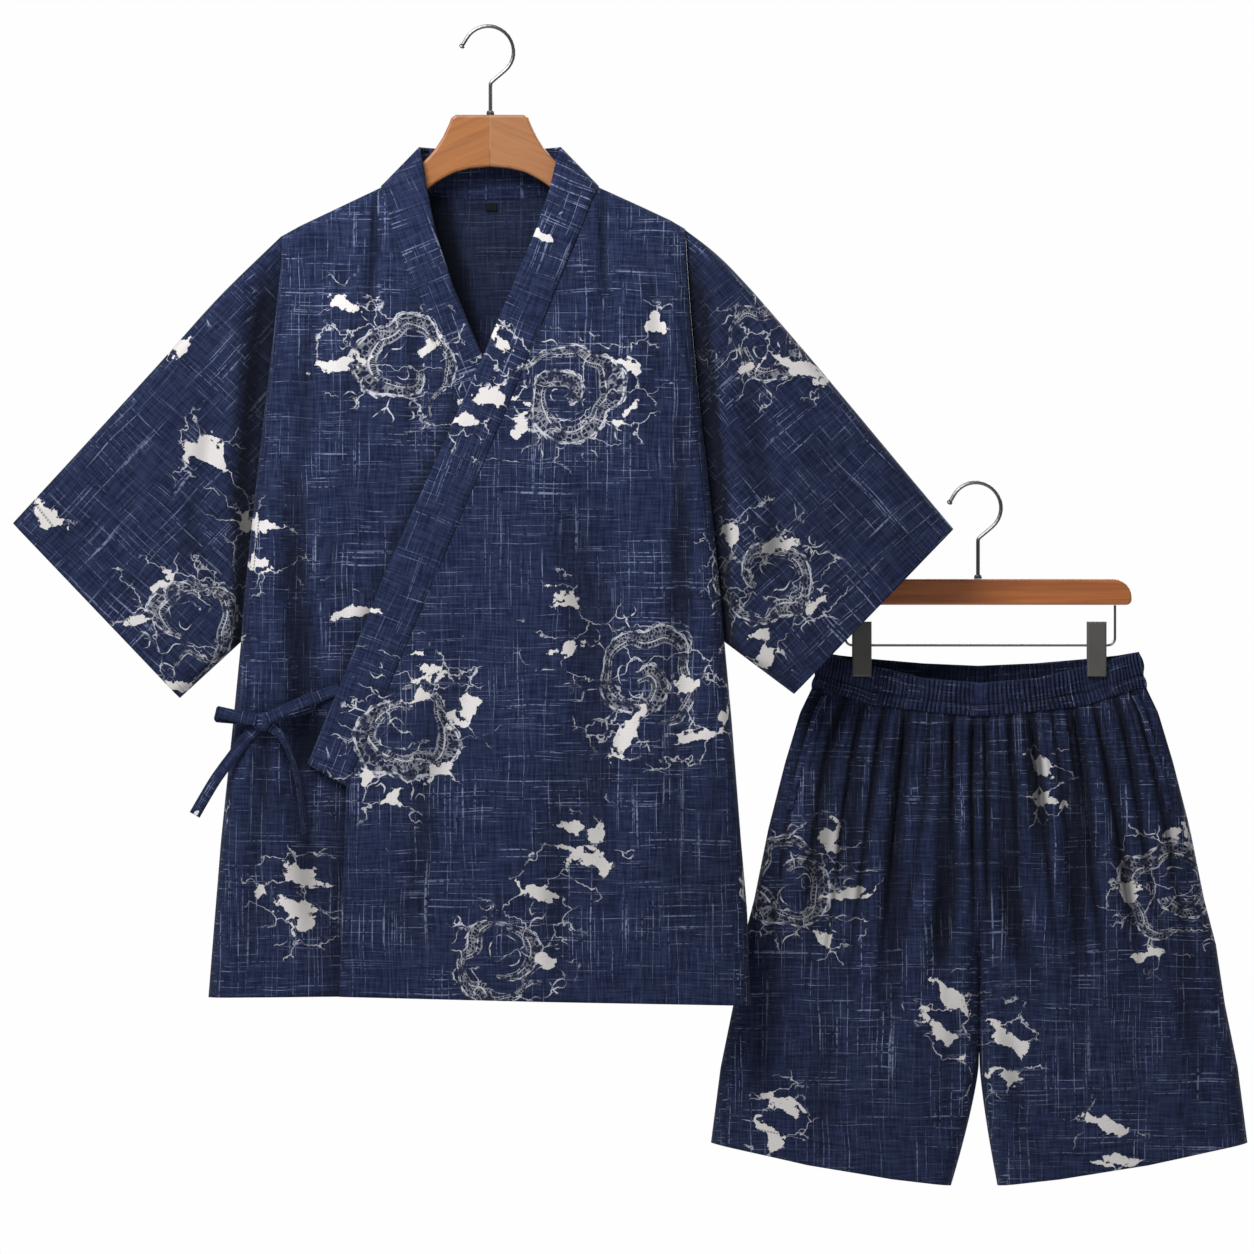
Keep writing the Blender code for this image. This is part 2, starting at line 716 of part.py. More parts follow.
def shorts_depth(x, z, edge_round=LEG_ROUND):
    """How far the shorts' face stands from their middle plane, side to side, without the crotch."""
    middle = x - SHORTS_MIDDLE
    near_side = shorts_half(z) - abs(middle)
    reach = min(abs(middle) / (CLIP_FROM_MIDDLE - CLIP_HALF_FLAT), 1.0)
    pinched = CLIP_PINCH + WAIST_OPEN * math.cos(0.5 * math.pi * reach)
    hanging = WAIST_DEPTH + (LEG_DEPTH - WAIST_DEPTH) * ease((-680.0 - z) / WAIST_TO_LEG)
    relaxed = ease((CLIP_FOOT - z) / 70.0)
    full = pinched + (hanging - pinched) * relaxed
    return full * quarter_round(near_side / (WAIST_ROUND + (edge_round - WAIST_ROUND) * relaxed))


def waist_point(share, z_of, height_share):
    """Middle-plane place on the waistband, a share of the way from left to right."""
    even = 2.0 * share - 1.0
    turned = -math.cos(math.pi * share)
    across = 0.8 * even + 0.2 * turned
    z = -640.0
    for _ in range(3):
        x = across * shorts_half(z)
        z = z_of(abs(x), height_share)
    return SHORTS_MIDDLE + across * shorts_half(z), z


def build_waistband(cloth):
    """A ribbed ring: a raised rib for each gather outside, and a plain face inside."""
    levels = (
        # share of the height, puff, share of the rib
        (0.0, 0.0, 0.6),
        (0.34, 1.1, 1.0),
        (0.7, 0.2, 0.7),
        (1.0, 0.4, 0.8),
    )
    count = 2 * BAND_RIBS

    def height(column):
        def z_of(from_middle, share):
            top = reading(WAIST_EDGES, from_middle, column)
            return top + share * (reading(WAIST_EDGES, from_middle, 3) - top)

        return z_of

    def base_ring(share):
        ring = []
        for side, z_of in ((-1, height(1)), (1, height(2))):
            for k in range(count):
                place = k / count if side < 0 else 1.0 - k / count
                x, z = waist_point(place, z_of, share)
                ring.append(Vector((x, side * shorts_depth(x, z), z)))
        return ring

    outer = []
    for share, puff, rib in levels:
        ring = base_ring(share)
        below = [point - Vector((0.0, 0.0, 1.0)) for point in ring]
        normals = outward_normals([ring, below], True, lambda point: Vector((0.0, 0.0, 0.0)))[0]
        line = []
        for k, (point, normal) in enumerate(zip(ring, normals)):
            out = Vector((point.x - SHORTS_MIDDLE, 20.0 * point.y, 0.0))
            if normal.dot(out) < 0:
                normal = -normal
            from_clip = abs(abs(point.x - SHORTS_MIDDLE) - CLIP_FROM_MIDDLE)
            free = 0.2 + 0.8 * ease((from_clip - CLIP_HALF_FLAT) / 12.0)
            raised = free * (puff + (rib * RIB_RAISE if k % 2 else 0.0))
            line.append(point + raised * normal)
        outer.append(line)
    inner = []
    for share in (0.0, 1.0):
        ring = base_ring(share)
        line = []
        for k in range(0, len(ring), 2):
            point = ring[k]
            after, before = ring[(k + 1) % len(ring)], ring[k - 1]
            along = (after - before).normalized()
            normal = Vector((-along.y, along.x, 0.0))
            if normal.dot(Vector((point.x - SHORTS_MIDDLE, 20.0 * point.y, 0.0))) < 0:
                normal = -normal
            line.append(point - WAIST_WALL * normal)
        inner.append(line)
    for line in outer + inner:
        for point in line:
            point.y += SHORTS_BACK
    wall("waistband", outer, inner, cloth, ring=True)


def leg_inner(z, side):
    """The inner edge of a leg, as a distance from the middle line."""
    if z > LEGS_PART:
        return SEAM_GAP
    share = (LEGS_PART - z) / (LEGS_PART - LEG_HEM[-1][1])
    return SEAM_GAP + LEG_GAP_AT_HEM[side] * share**1.3


def leg_depth(x, z, side):
    """The leg's face, closed at the crotch and down the inside of the leg."""
    from_inner = abs(x - SHORTS_MIDDLE) - leg_inner(z, side)
    down = (z - WAIST_EDGES[0][3]) / (CROTCH - WAIST_EDGES[0][3])
    joined = math.sqrt(max(1.0 - max(down, 0.0) ** 5, 0.0))
    return shorts_depth(x, z) * (joined + (1.0 - joined) * quarter_round(from_inner / LEG_ROUND))


def gathers(share, z):
    """The gathers under the waistband, which fade out down the leg."""
    fade = 1.0 - ease((-690.0 - z) / GATHER_LENGTH)
    fade *= ease((share - 0.1) / 0.06) * ease((1.0 - share) / 0.04)
    return GATHER_RAISE * fade * math.cos(2.0 * math.pi * LEG_GATHERS * share)


def seam_height(share):
    """Height of the waistband seam, a share of the way from the side to the middle."""
    z = WAIST_EDGES[-1][3]
    for _ in range(4):
        z = reading(WAIST_EDGES, (1.0 - share) * shorts_half(z), 3)
    return z


def build_leg(name, side, face, cloth):
    """A front (face -1) or back (face 1) leg: side -1 is on the left."""
    columns = 2 * LEG_GATHERS
    extra = (0.008, 0.02, 0.98, 0.992)
    shares = sorted([k / columns for k in range(columns + 1)] + list(extra))
    levels = (0.0, 0.06, 0.16, 0.3, 0.44, 0.52, 0.57, 0.7, 0.85, 1.0)
    grid = []
    for level in levels:
        row = []
        for share in shares:
            top = seam_height(share) - LEG_SEAM_GAP
            foot = reading(LEG_HEM, share)
            z = top + (foot - top) * level
            outer_edge, inner_edge = shorts_half(z), leg_inner(z, side)
            x = SHORTS_MIDDLE + side * (outer_edge + (inner_edge - outer_edge) * share)
            depth = leg_depth(x, z, side)
            depth += gathers(share, z) * min(depth / WAIST_DEPTH, 1.0)
            row.append(Vector((x, face * max(depth, 0.5 * SEAM_GAP), z)))
        grid.append(row)
    normals = outward_normals(grid, False, lambda point: Vector((0.0, face, 0.0)))
    inner = []
    for row, row_normals in zip(grid, normals):
        line = []
        for point, normal in zip(row, row_normals):
            moved = point - CLOTH * normal
            moved.y = face * max(face * moved.y, 0.5 * SEAM_GAP)
            outward = side * (moved.x - SHORTS_MIDDLE)
            if outward < leg_inner(point.z, side):
                moved.x = SHORTS_MIDDLE + side * leg_inner(point.z, side)
            line.append(moved)
        inner.append(line)
    for line in grid + inner:
        for point in line:
            point.y += SHORTS_BACK
    wall(name, grid, inner, cloth)


def build_pocket_edge(name, side, cloth):
    """The stitched edge of a side pocket, lying on the front leg."""
    outer, inner = [], []
    steps = 6
    for k in range(steps + 1):
        z = POCKET_TOP + (POCKET_FOOT - POCKET_TOP) * k / steps
        front, back = [], []
        for inset in (POCKET_INSET, POCKET_INSET + POCKET_WIDTH):
            x = SHORTS_MIDDLE + side * (shorts_half(z) - inset)
            rest = leg_depth(x, z, side) + POCKET_CLEAR
            front.append(Vector((x, SHORTS_BACK - rest - POCKET_THICK, z)))
            back.append(Vector((x, SHORTS_BACK - rest, z)))
        outer.append(front)
        inner.append(back)
    wall(name, outer, inner, cloth)


def build_hook(name, seat, base, depth, steel):
    """A wire hook: round loop, slanting neck and straight stem, with a small ball at the tip."""
    centre = Vector((seat[0] + HOOK_OFFSET, seat[1] + WIRE - HOOK_RADIUS))
    last_angle, tip_angle = math.radians(-50), math.radians(150)
    route = []
    tip_length = 9.5
    tip = Vector((math.cos(tip_angle), math.sin(tip_angle))) * HOOK_RADIUS + centre
    away = Vector((-math.sin(tip_angle), math.cos(tip_angle)))
    route.append((tip + away * (tip_length + 1.2), 0.55))
    route.append((tip + away * tip_length, BALL))
    route.append((tip + away * (tip_length - 1.6), BALL))
    route.append((tip + away * (tip_length - 3.0), 1.0))
    turns = 18
    for k in range(turns + 1):
        angle = tip_angle + (last_angle - tip_angle) * k / turns
        route.append((Vector((math.cos(angle), math.sin(angle))) * HOOK_RADIUS + centre, 1.0))
    stem_x = seat[0] + STEM_OFFSET
    lean = last_angle + math.pi / 2
    bend = 5.0
    corner_reach = bend * math.tan(lean * 0.5 + math.radians(5))
    direction = Vector((math.sin(last_angle), -math.cos(last_angle)))
    neck = route[-1][0]
    run = (stem_x - neck.x) / direction.x
    corner = neck + direction * run
    for k in range(5):
        share = k / 4
        start, end = corner - direction * corner_reach, corner + Vector((0.0, -corner_reach))
        near = start.lerp(corner, share)
        far = corner.lerp(end, share)
        route.append((near.lerp(far, share), 1.0))
    route.append((Vector((stem_x, base + SEAM_GAP)), 1.0))
    points = [(point.x, depth, point.y) for point, _ in route]
    wire_curve(name, points, [size for _, size in route], WIRE, steel)


def wire_curve(name, points, sizes, radius, steel):
    data = bpy.data.curves.new(name, "CURVE")
    data.dimensions = "3D"
    data.bevel_depth = radius * MM
    data.bevel_resolution = 2
    data.use_fill_caps = True
    spline = data.splines.new("POLY")
    spline.points.add(len(points) - 1)
    for place, point, size in zip(spline.points, points, sizes):
        place.co = (point[0] * MM, point[1] * MM, point[2] * MM, 1.0)
        place.radius = size
    spline.use_smooth = True
    data.materials.append(steel)
    made = bpy.data.objects.new(name, data)
    bpy.context.scene.collection.objects.link(made)


def build_ferrule(name, x, depth, base, steel):
    """A collar round the stem, where it enters the wood."""
    mesh = bmesh.new()
    sides = 14
    hole = WIRE + SEAM_GAP
    profile = (
        (hole, 0.0),
        (FERRULE_RADIUS, 0.0),
        (FERRULE_RADIUS, 0.6 * FERRULE_HEIGHT),
        (0.5 * (hole + FERRULE_RADIUS), FERRULE_HEIGHT),
        (hole, FERRULE_HEIGHT),
    )
    rings = []
    for k in range(sides):
        angle = 2.0 * math.pi * k / sides
        rings.append(
            [
                mesh.verts.new((x + r * math.cos(angle), depth + r * math.sin(angle), base + SEAM_GAP + h))
                for r, h in profile
            ]
        )
    for k in range(sides):
        near, far = rings[k], rings[(k + 1) % sides]
        for j in range(len(profile)):
            after = (j + 1) % len(profile)
            mesh.faces.new((near[j], near[after], far[after], far[j]))
    finish(name, mesh, steel)


def build_wood(name, side, wood):
    """Half of the jacket hanger, from its top and foot lines, rounded along both faces."""
    mesh = bmesh.new()
    gap = 0.5 * SEAM_GAP
    upper = [(side * max(x, gap), top) for x, top, _ in WOOD_OUTLINE]
    lower = [(side * max(x, gap), foot) for x, _, foot in reversed(WOOD_OUTLINE)]
    outline = [mesh.verts.new((x, -WOOD_HALF_THICK, z)) for x, z in upper + lower]
    face = mesh.faces.new(outline)
    made = bmesh.ops.extrude_face_region(mesh, geom=[face])
    moved = [item for item in made["geom"] if isinstance(item, bmesh.types.BMVert)]
    bmesh.ops.translate(mesh, vec=(0.0, 2 * WOOD_HALF_THICK, 0.0), verts=moved)
    bmesh.ops.recalc_face_normals(mesh, faces=mesh.faces)
    rims = []
    for edge in mesh.edges:
        a, b = edge.verts[0].co, edge.verts[1].co
        at_joint = abs(a.x) < 1.0 and abs(b.x) < 1.0
        if abs(a.y - b.y) < 0.01 and not at_joint:
            rims.append(edge)
    bmesh.ops.bevel(mesh, geom=rims, offset=2.6, segments=2, profile=0.5, affect="EDGES", clamp_overlap=True)
    finish(name, mesh, wood)


def build_bar(wood):
    """The shorts hanger's bar: large upper corners, small lower ones, softened faces."""
    mesh = bmesh.new()
    corners = (
        # x, z, radius, first angle in degrees
        (BAR_RIGHT, BAR_TOP, BAR_CORNER, 0.0),
        (BAR_LEFT, BAR_TOP, BAR_CORNER, 90.0),
        (BAR_LEFT, BAR_FOOT, BAR_FOOT_CORNER, 180.0),
        (BAR_RIGHT, BAR_FOOT, BAR_FOOT_CORNER, 270.0),
    )
    outline = []
    for x, z, radius, first in corners:
        inward_x = -1 if x == BAR_RIGHT else 1
        inward_z = -1 if z == BAR_TOP else 1
        steps = 6 if radius > 10.0 else 3
        for k in range(steps + 1):
            angle = math.radians(first + 90.0 * k / steps)
            place_x = x + inward_x * radius + radius * math.cos(angle)
            place_z = z + inward_z * radius + radius * math.sin(angle)
            outline.append(mesh.verts.new((place_x, SHORTS_BACK - BAR_HALF_THICK, place_z)))
    face = mesh.faces.new(outline)
    made = bmesh.ops.extrude_face_region(mesh, geom=[face])
    moved = [item for item in made["geom"] if isinstance(item, bmesh.types.BMVert)]
    bmesh.ops.translate(mesh, vec=(0.0, 2 * BAR_HALF_THICK, 0.0), verts=moved)
    bmesh.ops.recalc_face_normals(mesh, faces=mesh.faces)
    rims = [edge for edge in mesh.edges if abs(edge.verts[0].co.y - edge.verts[1].co.y) < 0.01]
    bmesh.ops.bevel(mesh, geom=rims, offset=2.0, segments=2, profile=0.5, affect="EDGES", clamp_overlap=True)
    finish("hanger_bar", mesh, wood)


def build_rail(steel):
    """The wire that drops from the bar at both ends and carries the clips."""
    top = BAR_FOOT - SEAM_GAP
    route = [(RAIL_LEFT, top), (RAIL_LEFT, 0.5 * (top + RAIL_HEIGHT))]
    for centre_x, first in ((RAIL_LEFT + RAIL_BEND, 180.0), (RAIL_RIGHT - RAIL_BEND, 270.0)):
        for k in range(7):
            angle = math.radians(first + 15.0 * k)
            place_z = RAIL_HEIGHT + RAIL_BEND + RAIL_BEND * math.sin(angle)
            route.append((centre_x + RAIL_BEND * math.cos(angle), place_z))
    route += [(RAIL_RIGHT, 0.5 * (top + RAIL_HEIGHT)), (RAIL_RIGHT, top)]
    wire_curve("clip_rail", [(x, SHORTS_BACK, z) for x, z in route], [1.0] * len(route), RAIL_WIRE, steel)


def build_jaw(name, middle, side, plastic):
    """One jaw of a clip: close to the rail above, and stepped out to the cloth below."""
    mesh = bmesh.new()
    profile = (
        (CLIP_OUTER, CLIP_TOP),
        (CLIP_ON_RAIL, CLIP_TOP),
        (CLIP_ON_RAIL, -620.0),
        (CLIP_ON_CLOTH, -623.0),
        (CLIP_ON_CLOTH, CLIP_FOOT),
        (CLIP_OUTER, CLIP_FOOT),
    )
    left = middle - 0.5 * CLIP_WIDTH
    face = mesh.faces.new([mesh.verts.new((left, SHORTS_BACK + side * y, z)) for y, z in profile])
    made = bmesh.ops.extrude_face_region(mesh, geom=[face])
    moved = [item for item in made["geom"] if isinstance(item, bmesh.types.BMVert)]
    bmesh.ops.translate(mesh, vec=(CLIP_WIDTH, 0.0, 0.0), verts=moved)
    bmesh.ops.recalc_face_normals(mesh, faces=mesh.faces)
    outer_edges = []
    for edge in mesh.edges:
        if all(abs(abs(vert.co.y - SHORTS_BACK) - CLIP_OUTER) < 0.01 for vert in edge.verts):
            outer_edges.append(edge)
    bmesh.ops.bevel(mesh, geom=outer_edges, offset=1.6, segments=2, profile=0.5, affect="EDGES")
    finish(name, mesh, plastic)


def main():
    for old in list(bpy.data.objects):
        bpy.data.objects.remove(old, do_unlink=True)
    navy = material("navy_slub_cotton", (0.018, 0.026, 0.075), 0.85)
    black = material("black_label_tape", (0.01, 0.01, 0.012), 0.8)
    steel = material("chromed_steel_wire", (0.55, 0.55, 0.55), 0.25, 1.0)
    light_wood = material("light_wood_left", (0.46, 0.19, 0.06), 0.45)
    pink_wood = material("light_wood_right", (0.48, 0.21, 0.09), 0.45)
    brown_wood = material("brown_wood_bar", (0.24, 0.09, 0.032), 0.4)
    clip_plastic = material("clip_plastic", (0.06, 0.056, 0.05), 0.4)

    under_front = build_body(navy)
    build_collar(navy)
    for name, shape in SLEEVES.items():
        build_sleeve(name, shape["side"], shape["upper"], shape["lower"], navy)
    build_bow(under_front, navy)
    build_label(black)

    build_waistband(navy)
    for name, side, face in (
        ("leg_front_left", -1, -1),
        ("leg_front_right", 1, -1),
        ("leg_back_left", -1, 1),
        ("leg_back_right", 1, 1),
    ):
        build_leg(name, side, face, navy)
    build_pocket_edge("pocket_edge_left", -1, navy)
    build_pocket_edge("pocket_edge_right", 1, navy)

    build_hook("jacket_hook", (0.0, 0.0), WOOD_TOP, 0.0, steel)
    build_ferrule("jacket_ferrule", STEM_OFFSET, 0.0, WOOD_TOP, steel)
    build_wood("hanger_wood_left", -1, light_wood)
    build_wood("hanger_wood_right", 1, pink_wood)
    build_hook("shorts_hook", SHORTS_HOOK_SEAT, BAR_TOP, SHORTS_BACK, steel)
    build_ferrule("shorts_ferrule", SHORTS_HOOK_SEAT[0] + STEM_OFFSET, SHORTS_BACK, BAR_TOP, steel)
    build_bar(brown_wood)
    build_rail(steel)
    for place, side in (("left", -1), ("right", 1)):
        middle = SHORTS_MIDDLE + side * CLIP_FROM_MIDDLE
        build_jaw(f"clip_{place}_front", middle, -1, clip_plastic)
        build_jaw(f"clip_{place}_back", middle, 1, clip_plastic)


main()
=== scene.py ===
"""Looks of the jinbei set: cloth with its creases, stitches and print, wood, wire and clips.

The tables and sizes below are in millimetres, in the frame of the CAD parts: x to the right, z up from
the seat of the jacket hanger's hook, y away from the viewer of the front.
"""

import math

import bmesh
import bpy
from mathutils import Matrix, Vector, noise


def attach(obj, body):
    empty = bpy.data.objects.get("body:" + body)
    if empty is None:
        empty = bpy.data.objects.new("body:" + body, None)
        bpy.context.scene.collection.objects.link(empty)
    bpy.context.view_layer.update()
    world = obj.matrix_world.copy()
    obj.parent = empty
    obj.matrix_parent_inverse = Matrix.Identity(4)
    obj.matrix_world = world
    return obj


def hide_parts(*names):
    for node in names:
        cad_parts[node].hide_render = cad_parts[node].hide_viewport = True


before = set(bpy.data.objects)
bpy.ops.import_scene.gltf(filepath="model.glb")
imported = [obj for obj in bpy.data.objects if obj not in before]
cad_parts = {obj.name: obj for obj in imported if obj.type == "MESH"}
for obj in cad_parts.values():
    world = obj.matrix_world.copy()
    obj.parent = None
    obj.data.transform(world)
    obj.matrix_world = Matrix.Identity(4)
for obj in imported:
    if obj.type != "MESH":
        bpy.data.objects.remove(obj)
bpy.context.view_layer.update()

MM = 0.001

# Sizes and lines of the cut pieces, as in the CAD parts.
CLOTH = 1.2
BAND_CLOTH = 2.6
BAND_RAISE = 1.4
BAND_TUCK = 2.5
SEAM_GAP = 0.3
ARMHOLE_GAP = 0.8
SHOULDER_DEPTH = 12.0
BODY_DEPTH = 26.0
SHOULDER_ROUND = 14.0
SIDE_ROUND = 25.0
SHOULDER_TO_BODY = 140.0
ARMHOLE_DEPTH = 8.0
ARMHOLE_ROUND = 16.0
SLEEVE_START = 4.0
SLEEVE_DEPTH = 18.0
CUFF_DEPTH = 13.0
SLEEVE_SWELL = 45.0
SLEEVE_ROUND = 15.0
NECK_POINT = (108.0, -159.0)
NECK_PEAK = (70.0, -120.0)
NECK_FLAT = 50.0
COLLAR_LEAN = 0.72
SHOULDER_LEAN = 0.91
BACK_NECK_DROP = 11.5
BACK_COLLAR_DIP = 2.0
LAP_INSET = 5.5
LAP_LEAD = 20.0
LAP_WIDTH = 40.0
UNDERARM = -614.0
BAND_END = (-758.0, -736.0)

SHOULDER_LINE = (
    # x, z
    (-217.0, -213.0),
    (-190.0, -198.0),
    (-150.0, -179.0),
    (-108.0, -159.0),
    (108.0, -159.0),
    (150.0, -178.0),
    (180.0, -192.0),
    (209.0, -209.0),
)
SIDES = (
    # z, left, right
    (-160.0, -208.0, 192.0),
    (-205.0, -208.0, 195.5),
    (-235.0, -209.0, 197.0),
    (-291.0, -214.5, 201.0),
    (-355.0, -222.0, 207.0),
    (-437.0, -231.5, 217.0),
    (-512.0, -239.5, 225.0),
    (-560.0, -244.5, 230.0),
    (-614.0, -249.0, 234.5),
    (-690.0, -256.5, 241.5),
    (-812.0, -269.0, 251.0),
    (-880.0, -274.5, 257.0),
    (-980.0, -282.5, 261.0),
)
HEM = (
    # x, z
    (-282.0, -969.0),
    (-150.0, -968.0),
    (46.0, -973.0),
    (261.0, -977.0),
)
BAND_SEAM = (
    # z, over front, under front
    (-159.0, 108.0, -108.0),
    (-200.0, 91.5, -97.0),
    (-312.0, 46.0, -58.5),
    (-758.0, -143.0, 129.0),
    (-980.0, -150.5, 136.5),
)
BAND_EDGE = (
    # z, over front, under front
    (-120.0, 70.0, -70.0),
    (-161.0, 60.5, -63.5),
    (-205.0, 46.0, -54.5),
    (-260.0, 23.0, -37.0),
    (-331.0, -7.0, -7.0),
    (-532.0, -98.0, 84.0),
    (-736.0, -181.0, 167.0),
)
SLEEVES = {
    "sleeve_left": {
        "side": -1,
        "upper": ((-208.5, -208.0), (-272.0, -270.0), (-333.0, -338.0), (-408.0, -420.0), (-477.0, -495.0)),
        "lower": ((-249.0, -614.0), (-310.0, -670.0)),
    },
    "sleeve_right": {
        "side": 1,
        "upper": ((195.5, -202.0), (239.0, -238.0), (311.0, -319.0), (409.0, -436.0), (463.5, -501.0)),
        "lower": ((234.5, -614.0), (304.0, -666.0)),
    },
}

STRAP_WIDTH = 11.5
STRAP_THICK = 1.6
STRAP_CLEAR = 0.6
KNOT_CENTRE = (-227.0, -693.5)
KNOT_SIZE = (8.5, 5.5, 9.5)
LOOP_GAP = 5.0
TIE_PATH = ((-150.0, -662.0), (-162.0, -665.0), (-176.0, -671.5), (-190.0, -678.0), (-203.0, -684.0))
LEFT_LOOP = {"start": (-232.0, -692.0), "end": (-273.0, -683.0), "drop": 5.0, "lift": 0.0}
RIGHT_LOOP = {"start": (-222.0, -690.5), "end": (-176.0, -669.0), "drop": 8.0, "lift": 3.0}
LEFT_TAIL = ((-230.0, -697.0), (-240.5, -707.0), (-258.0, -730.0), (-275.0, -753.5), (-294.5, -786.5))
RIGHT_TAIL = (
    (-222.0, -695.0),
    (-212.0, -702.5),
    (-203.0, -716.0),
    (-194.0, -741.0),
    (-188.5, -768.0),
    (-184.0, -806.0),
)
LABEL_CENTRE = (1.0, -178.0)
LABEL_SIZE = (12.0, 8.0)

SHORTS_MIDDLE = 491.0
SHORTS_BACK = 52.0
SHORTS_HALF_WIDTH = (
    # z, half width
    (-620.0, 160.0),
    (-660.0, 168.0),
    (-685.0, 180.0),
    (-735.0, 195.0),
    (-802.0, 212.0),
    (-872.0, 226.0),
    (-918.0, 238.0),
    (-978.0, 247.0),
    (-1042.0, 260.0),
    (-1120.0, 270.0),
    (-1170.0, 275.0),
)
WAIST_EDGES = (
    # from the middle, top of the front, top of the back, seam
    (0.0, -655.0, -638.0, -689.0),
    (56.0, -650.5, -635.5, -684.0),
    (108.0, -637.5, -631.0, -678.0),
    (140.0, -629.0, -627.5, -667.0),
    (160.0, -624.0, -624.0, -660.0),
    (180.0, -624.0, -624.0, -660.0),
)
CROTCH = -927.0
LEGS_PART = -1038.0
LEG_GAP_AT_HEM = {-1: 28.0, 1: 18.0}
LEG_HEM = (
    # share of the way from the side to the inner edge, z
    (0.0, -1117.0),
    (0.4, -1139.0),
    (0.75, -1153.0),
    (1.0, -1160.0),
)
WAIST_DEPTH = 9.0
LEG_DEPTH = 24.0
WAIST_TO_LEG = 150.0
LEG_ROUND = 22.0
WAIST_TUCK = 6.0
CLIP_FROM_MIDDLE = 118.0
CLIP_PINCH = 2.9
CLIP_HALF_FLAT = 11.0
CLIP_FOOT = -648.8
WAIST_OPEN = 15.0
WAIST_ROUND = 9.0
POCKET_TOP = -668.0
POCKET_FOOT = -783.0
POCKET_INSET = 13.0
POCKET_WIDTH = 6.0

CREASE_GAIN = 1.9

# Creases: a soft ridge, or a trough where the rise is negative, between two places.
FRONT_CREASES = (
    # x and z at the top, x and z at the foot, half width, rise
    (-122.0, -190.0, -128.0, -420.0, 14.0, -1.8),
    (-148.0, -215.0, -160.0, -520.0, 18.0, 2.5),
    (116.0, -190.0, 112.0, -430.0, 14.0, -1.8),
    (143.0, -215.0, 150.0, -520.0, 18.0, 2.5),
    (100.0, -400.0, 112.0, -900.0, 26.0, -3.5),
    (-186.0, -520.0, -196.0, -900.0, 24.0, -2.5),
    (30.0, -560.0, 20.0, -960.0, 30.0, 2.5),
    (180.0, -600.0, 200.0, -960.0, 24.0, -2.5),
)
FRONT_DETAIL = (
    (-111.0, -120.0, -119.0, -300.0, 4.2, -2.4),
    (-192.0, -430.0, -184.0, -780.0, 12.0, -3.6),
    (-214.0, -420.0, -210.0, -760.0, 10.0, 2.0),
    (-166.0, -430.0, -158.0, -700.0, 10.0, 1.8),
    (-222.0, -640.0, -226.0, -800.0, 8.0, -2.6),
    (-103.0, -175.0, -104.0, -300.0, 6.0, 1.6),
    (-127.0, -185.0, -136.0, -360.0, 8.0, 1.8),
    (-72.0, -235.0, -79.0, -420.0, 7.0, -2.0),
    (110.0, -120.0, 117.0, -290.0, 4.0, -2.3),
    (189.0, -330.0, 196.0, -640.0, 9.0, -2.6),
    (124.0, -185.0, 131.0, -350.0, 8.0, 1.6),
    (158.0, -205.0, 171.0, -420.0, 9.0, -1.6),
    (-176.0, -240.0, -188.0, -470.0, 10.0, -1.8),
    (-205.0, -420.0, -196.0, -640.0, 12.0, -2.2),
    (196.0, -470.0, 176.0, -700.0, 13.0, -2.4),
    (160.0, -520.0, 140.0, -760.0, 14.0, 1.6),
    (60.0, -430.0, 96.0, -640.0, 16.0, -1.4),
    (-20.0, -560.0, -52.0, -760.0, 15.0, -1.5),
    (-60.0, -640.0, -74.0, -950.0, 16.0, -2.0),
    (-104.0, -760.0, -112.0, -965.0, 14.0, 1.5),
    (70.0, -700.0, 62.0, -970.0, 15.0, -2.2),
    (140.0, -740.0, 152.0, -970.0, 14.0, 1.8),
    (222.0, -690.0, 236.0, -960.0, 10.0, -1.6),
    (-190.0, -700.0, -176.0, -960.0, 12.0, -2.0),
    (-232.0, -720.0, -240.0, -960.0, 11.0, -1.6),
    (-150.0, -470.0, -196.0, -600.0, 12.0, 1.6),
)
BACK_CREASES = (
    (-122.0, -190.0, -128.0, -420.0, 16.0, -3.0),
    (-148.0, -215.0, -160.0, -520.0, 18.0, 2.5),
    (116.0, -190.0, 112.0, -430.0, 16.0, -3.0),
    (143.0, -215.0, 150.0, -520.0, 18.0, 2.5),
    (100.0, -400.0, 112.0, -900.0, 26.0, -3.5),
    (-186.0, -520.0, -196.0, -900.0, 24.0, -2.5),
    (30.0, -560.0, 20.0, -960.0, 30.0, 2.5),
    (180.0, -600.0, 200.0, -960.0, 24.0, -2.5),
)
BACK_DETAIL = (
    (-60.0, -180.0, -76.0, -420.0, 12.0, -2.2),
    (66.0, -182.0, 84.0, -460.0, 12.0, -2.0),
    (-150.0, -230.0, -172.0, -520.0, 10.0, -2.0),
    (156.0, -230.0, 176.0, -500.0, 10.0, -2.2),
    (-200.0, -430.0, -180.0, -680.0, 13.0, -2.6),
    (192.0, -430.0, 168.0, -680.0, 13.0, -2.4),
    (-30.0, -300.0, -22.0, -620.0, 22.0, -1.8),
    (10.0, -420.0, 30.0, -800.0, 20.0, 1.8),
    (-130.0, -620.0, -140.0, -960.0, 16.0, -2.2),
    (-80.0, -700.0, -72.0, -965.0, 15.0, 1.8),
    (-20.0, -690.0, -30.0, -965.0, 14.0, -1.8),
    (70.0, -660.0, 80.0, -965.0, 16.0, -2.2),
    (140.0, -720.0, 150.0, -965.0, 14.0, 1.6),
    (210.0, -680.0, 226.0, -965.0, 12.0, -2.0),
    (-220.0, -700.0, -236.0, -965.0, 12.0, -2.0),
)
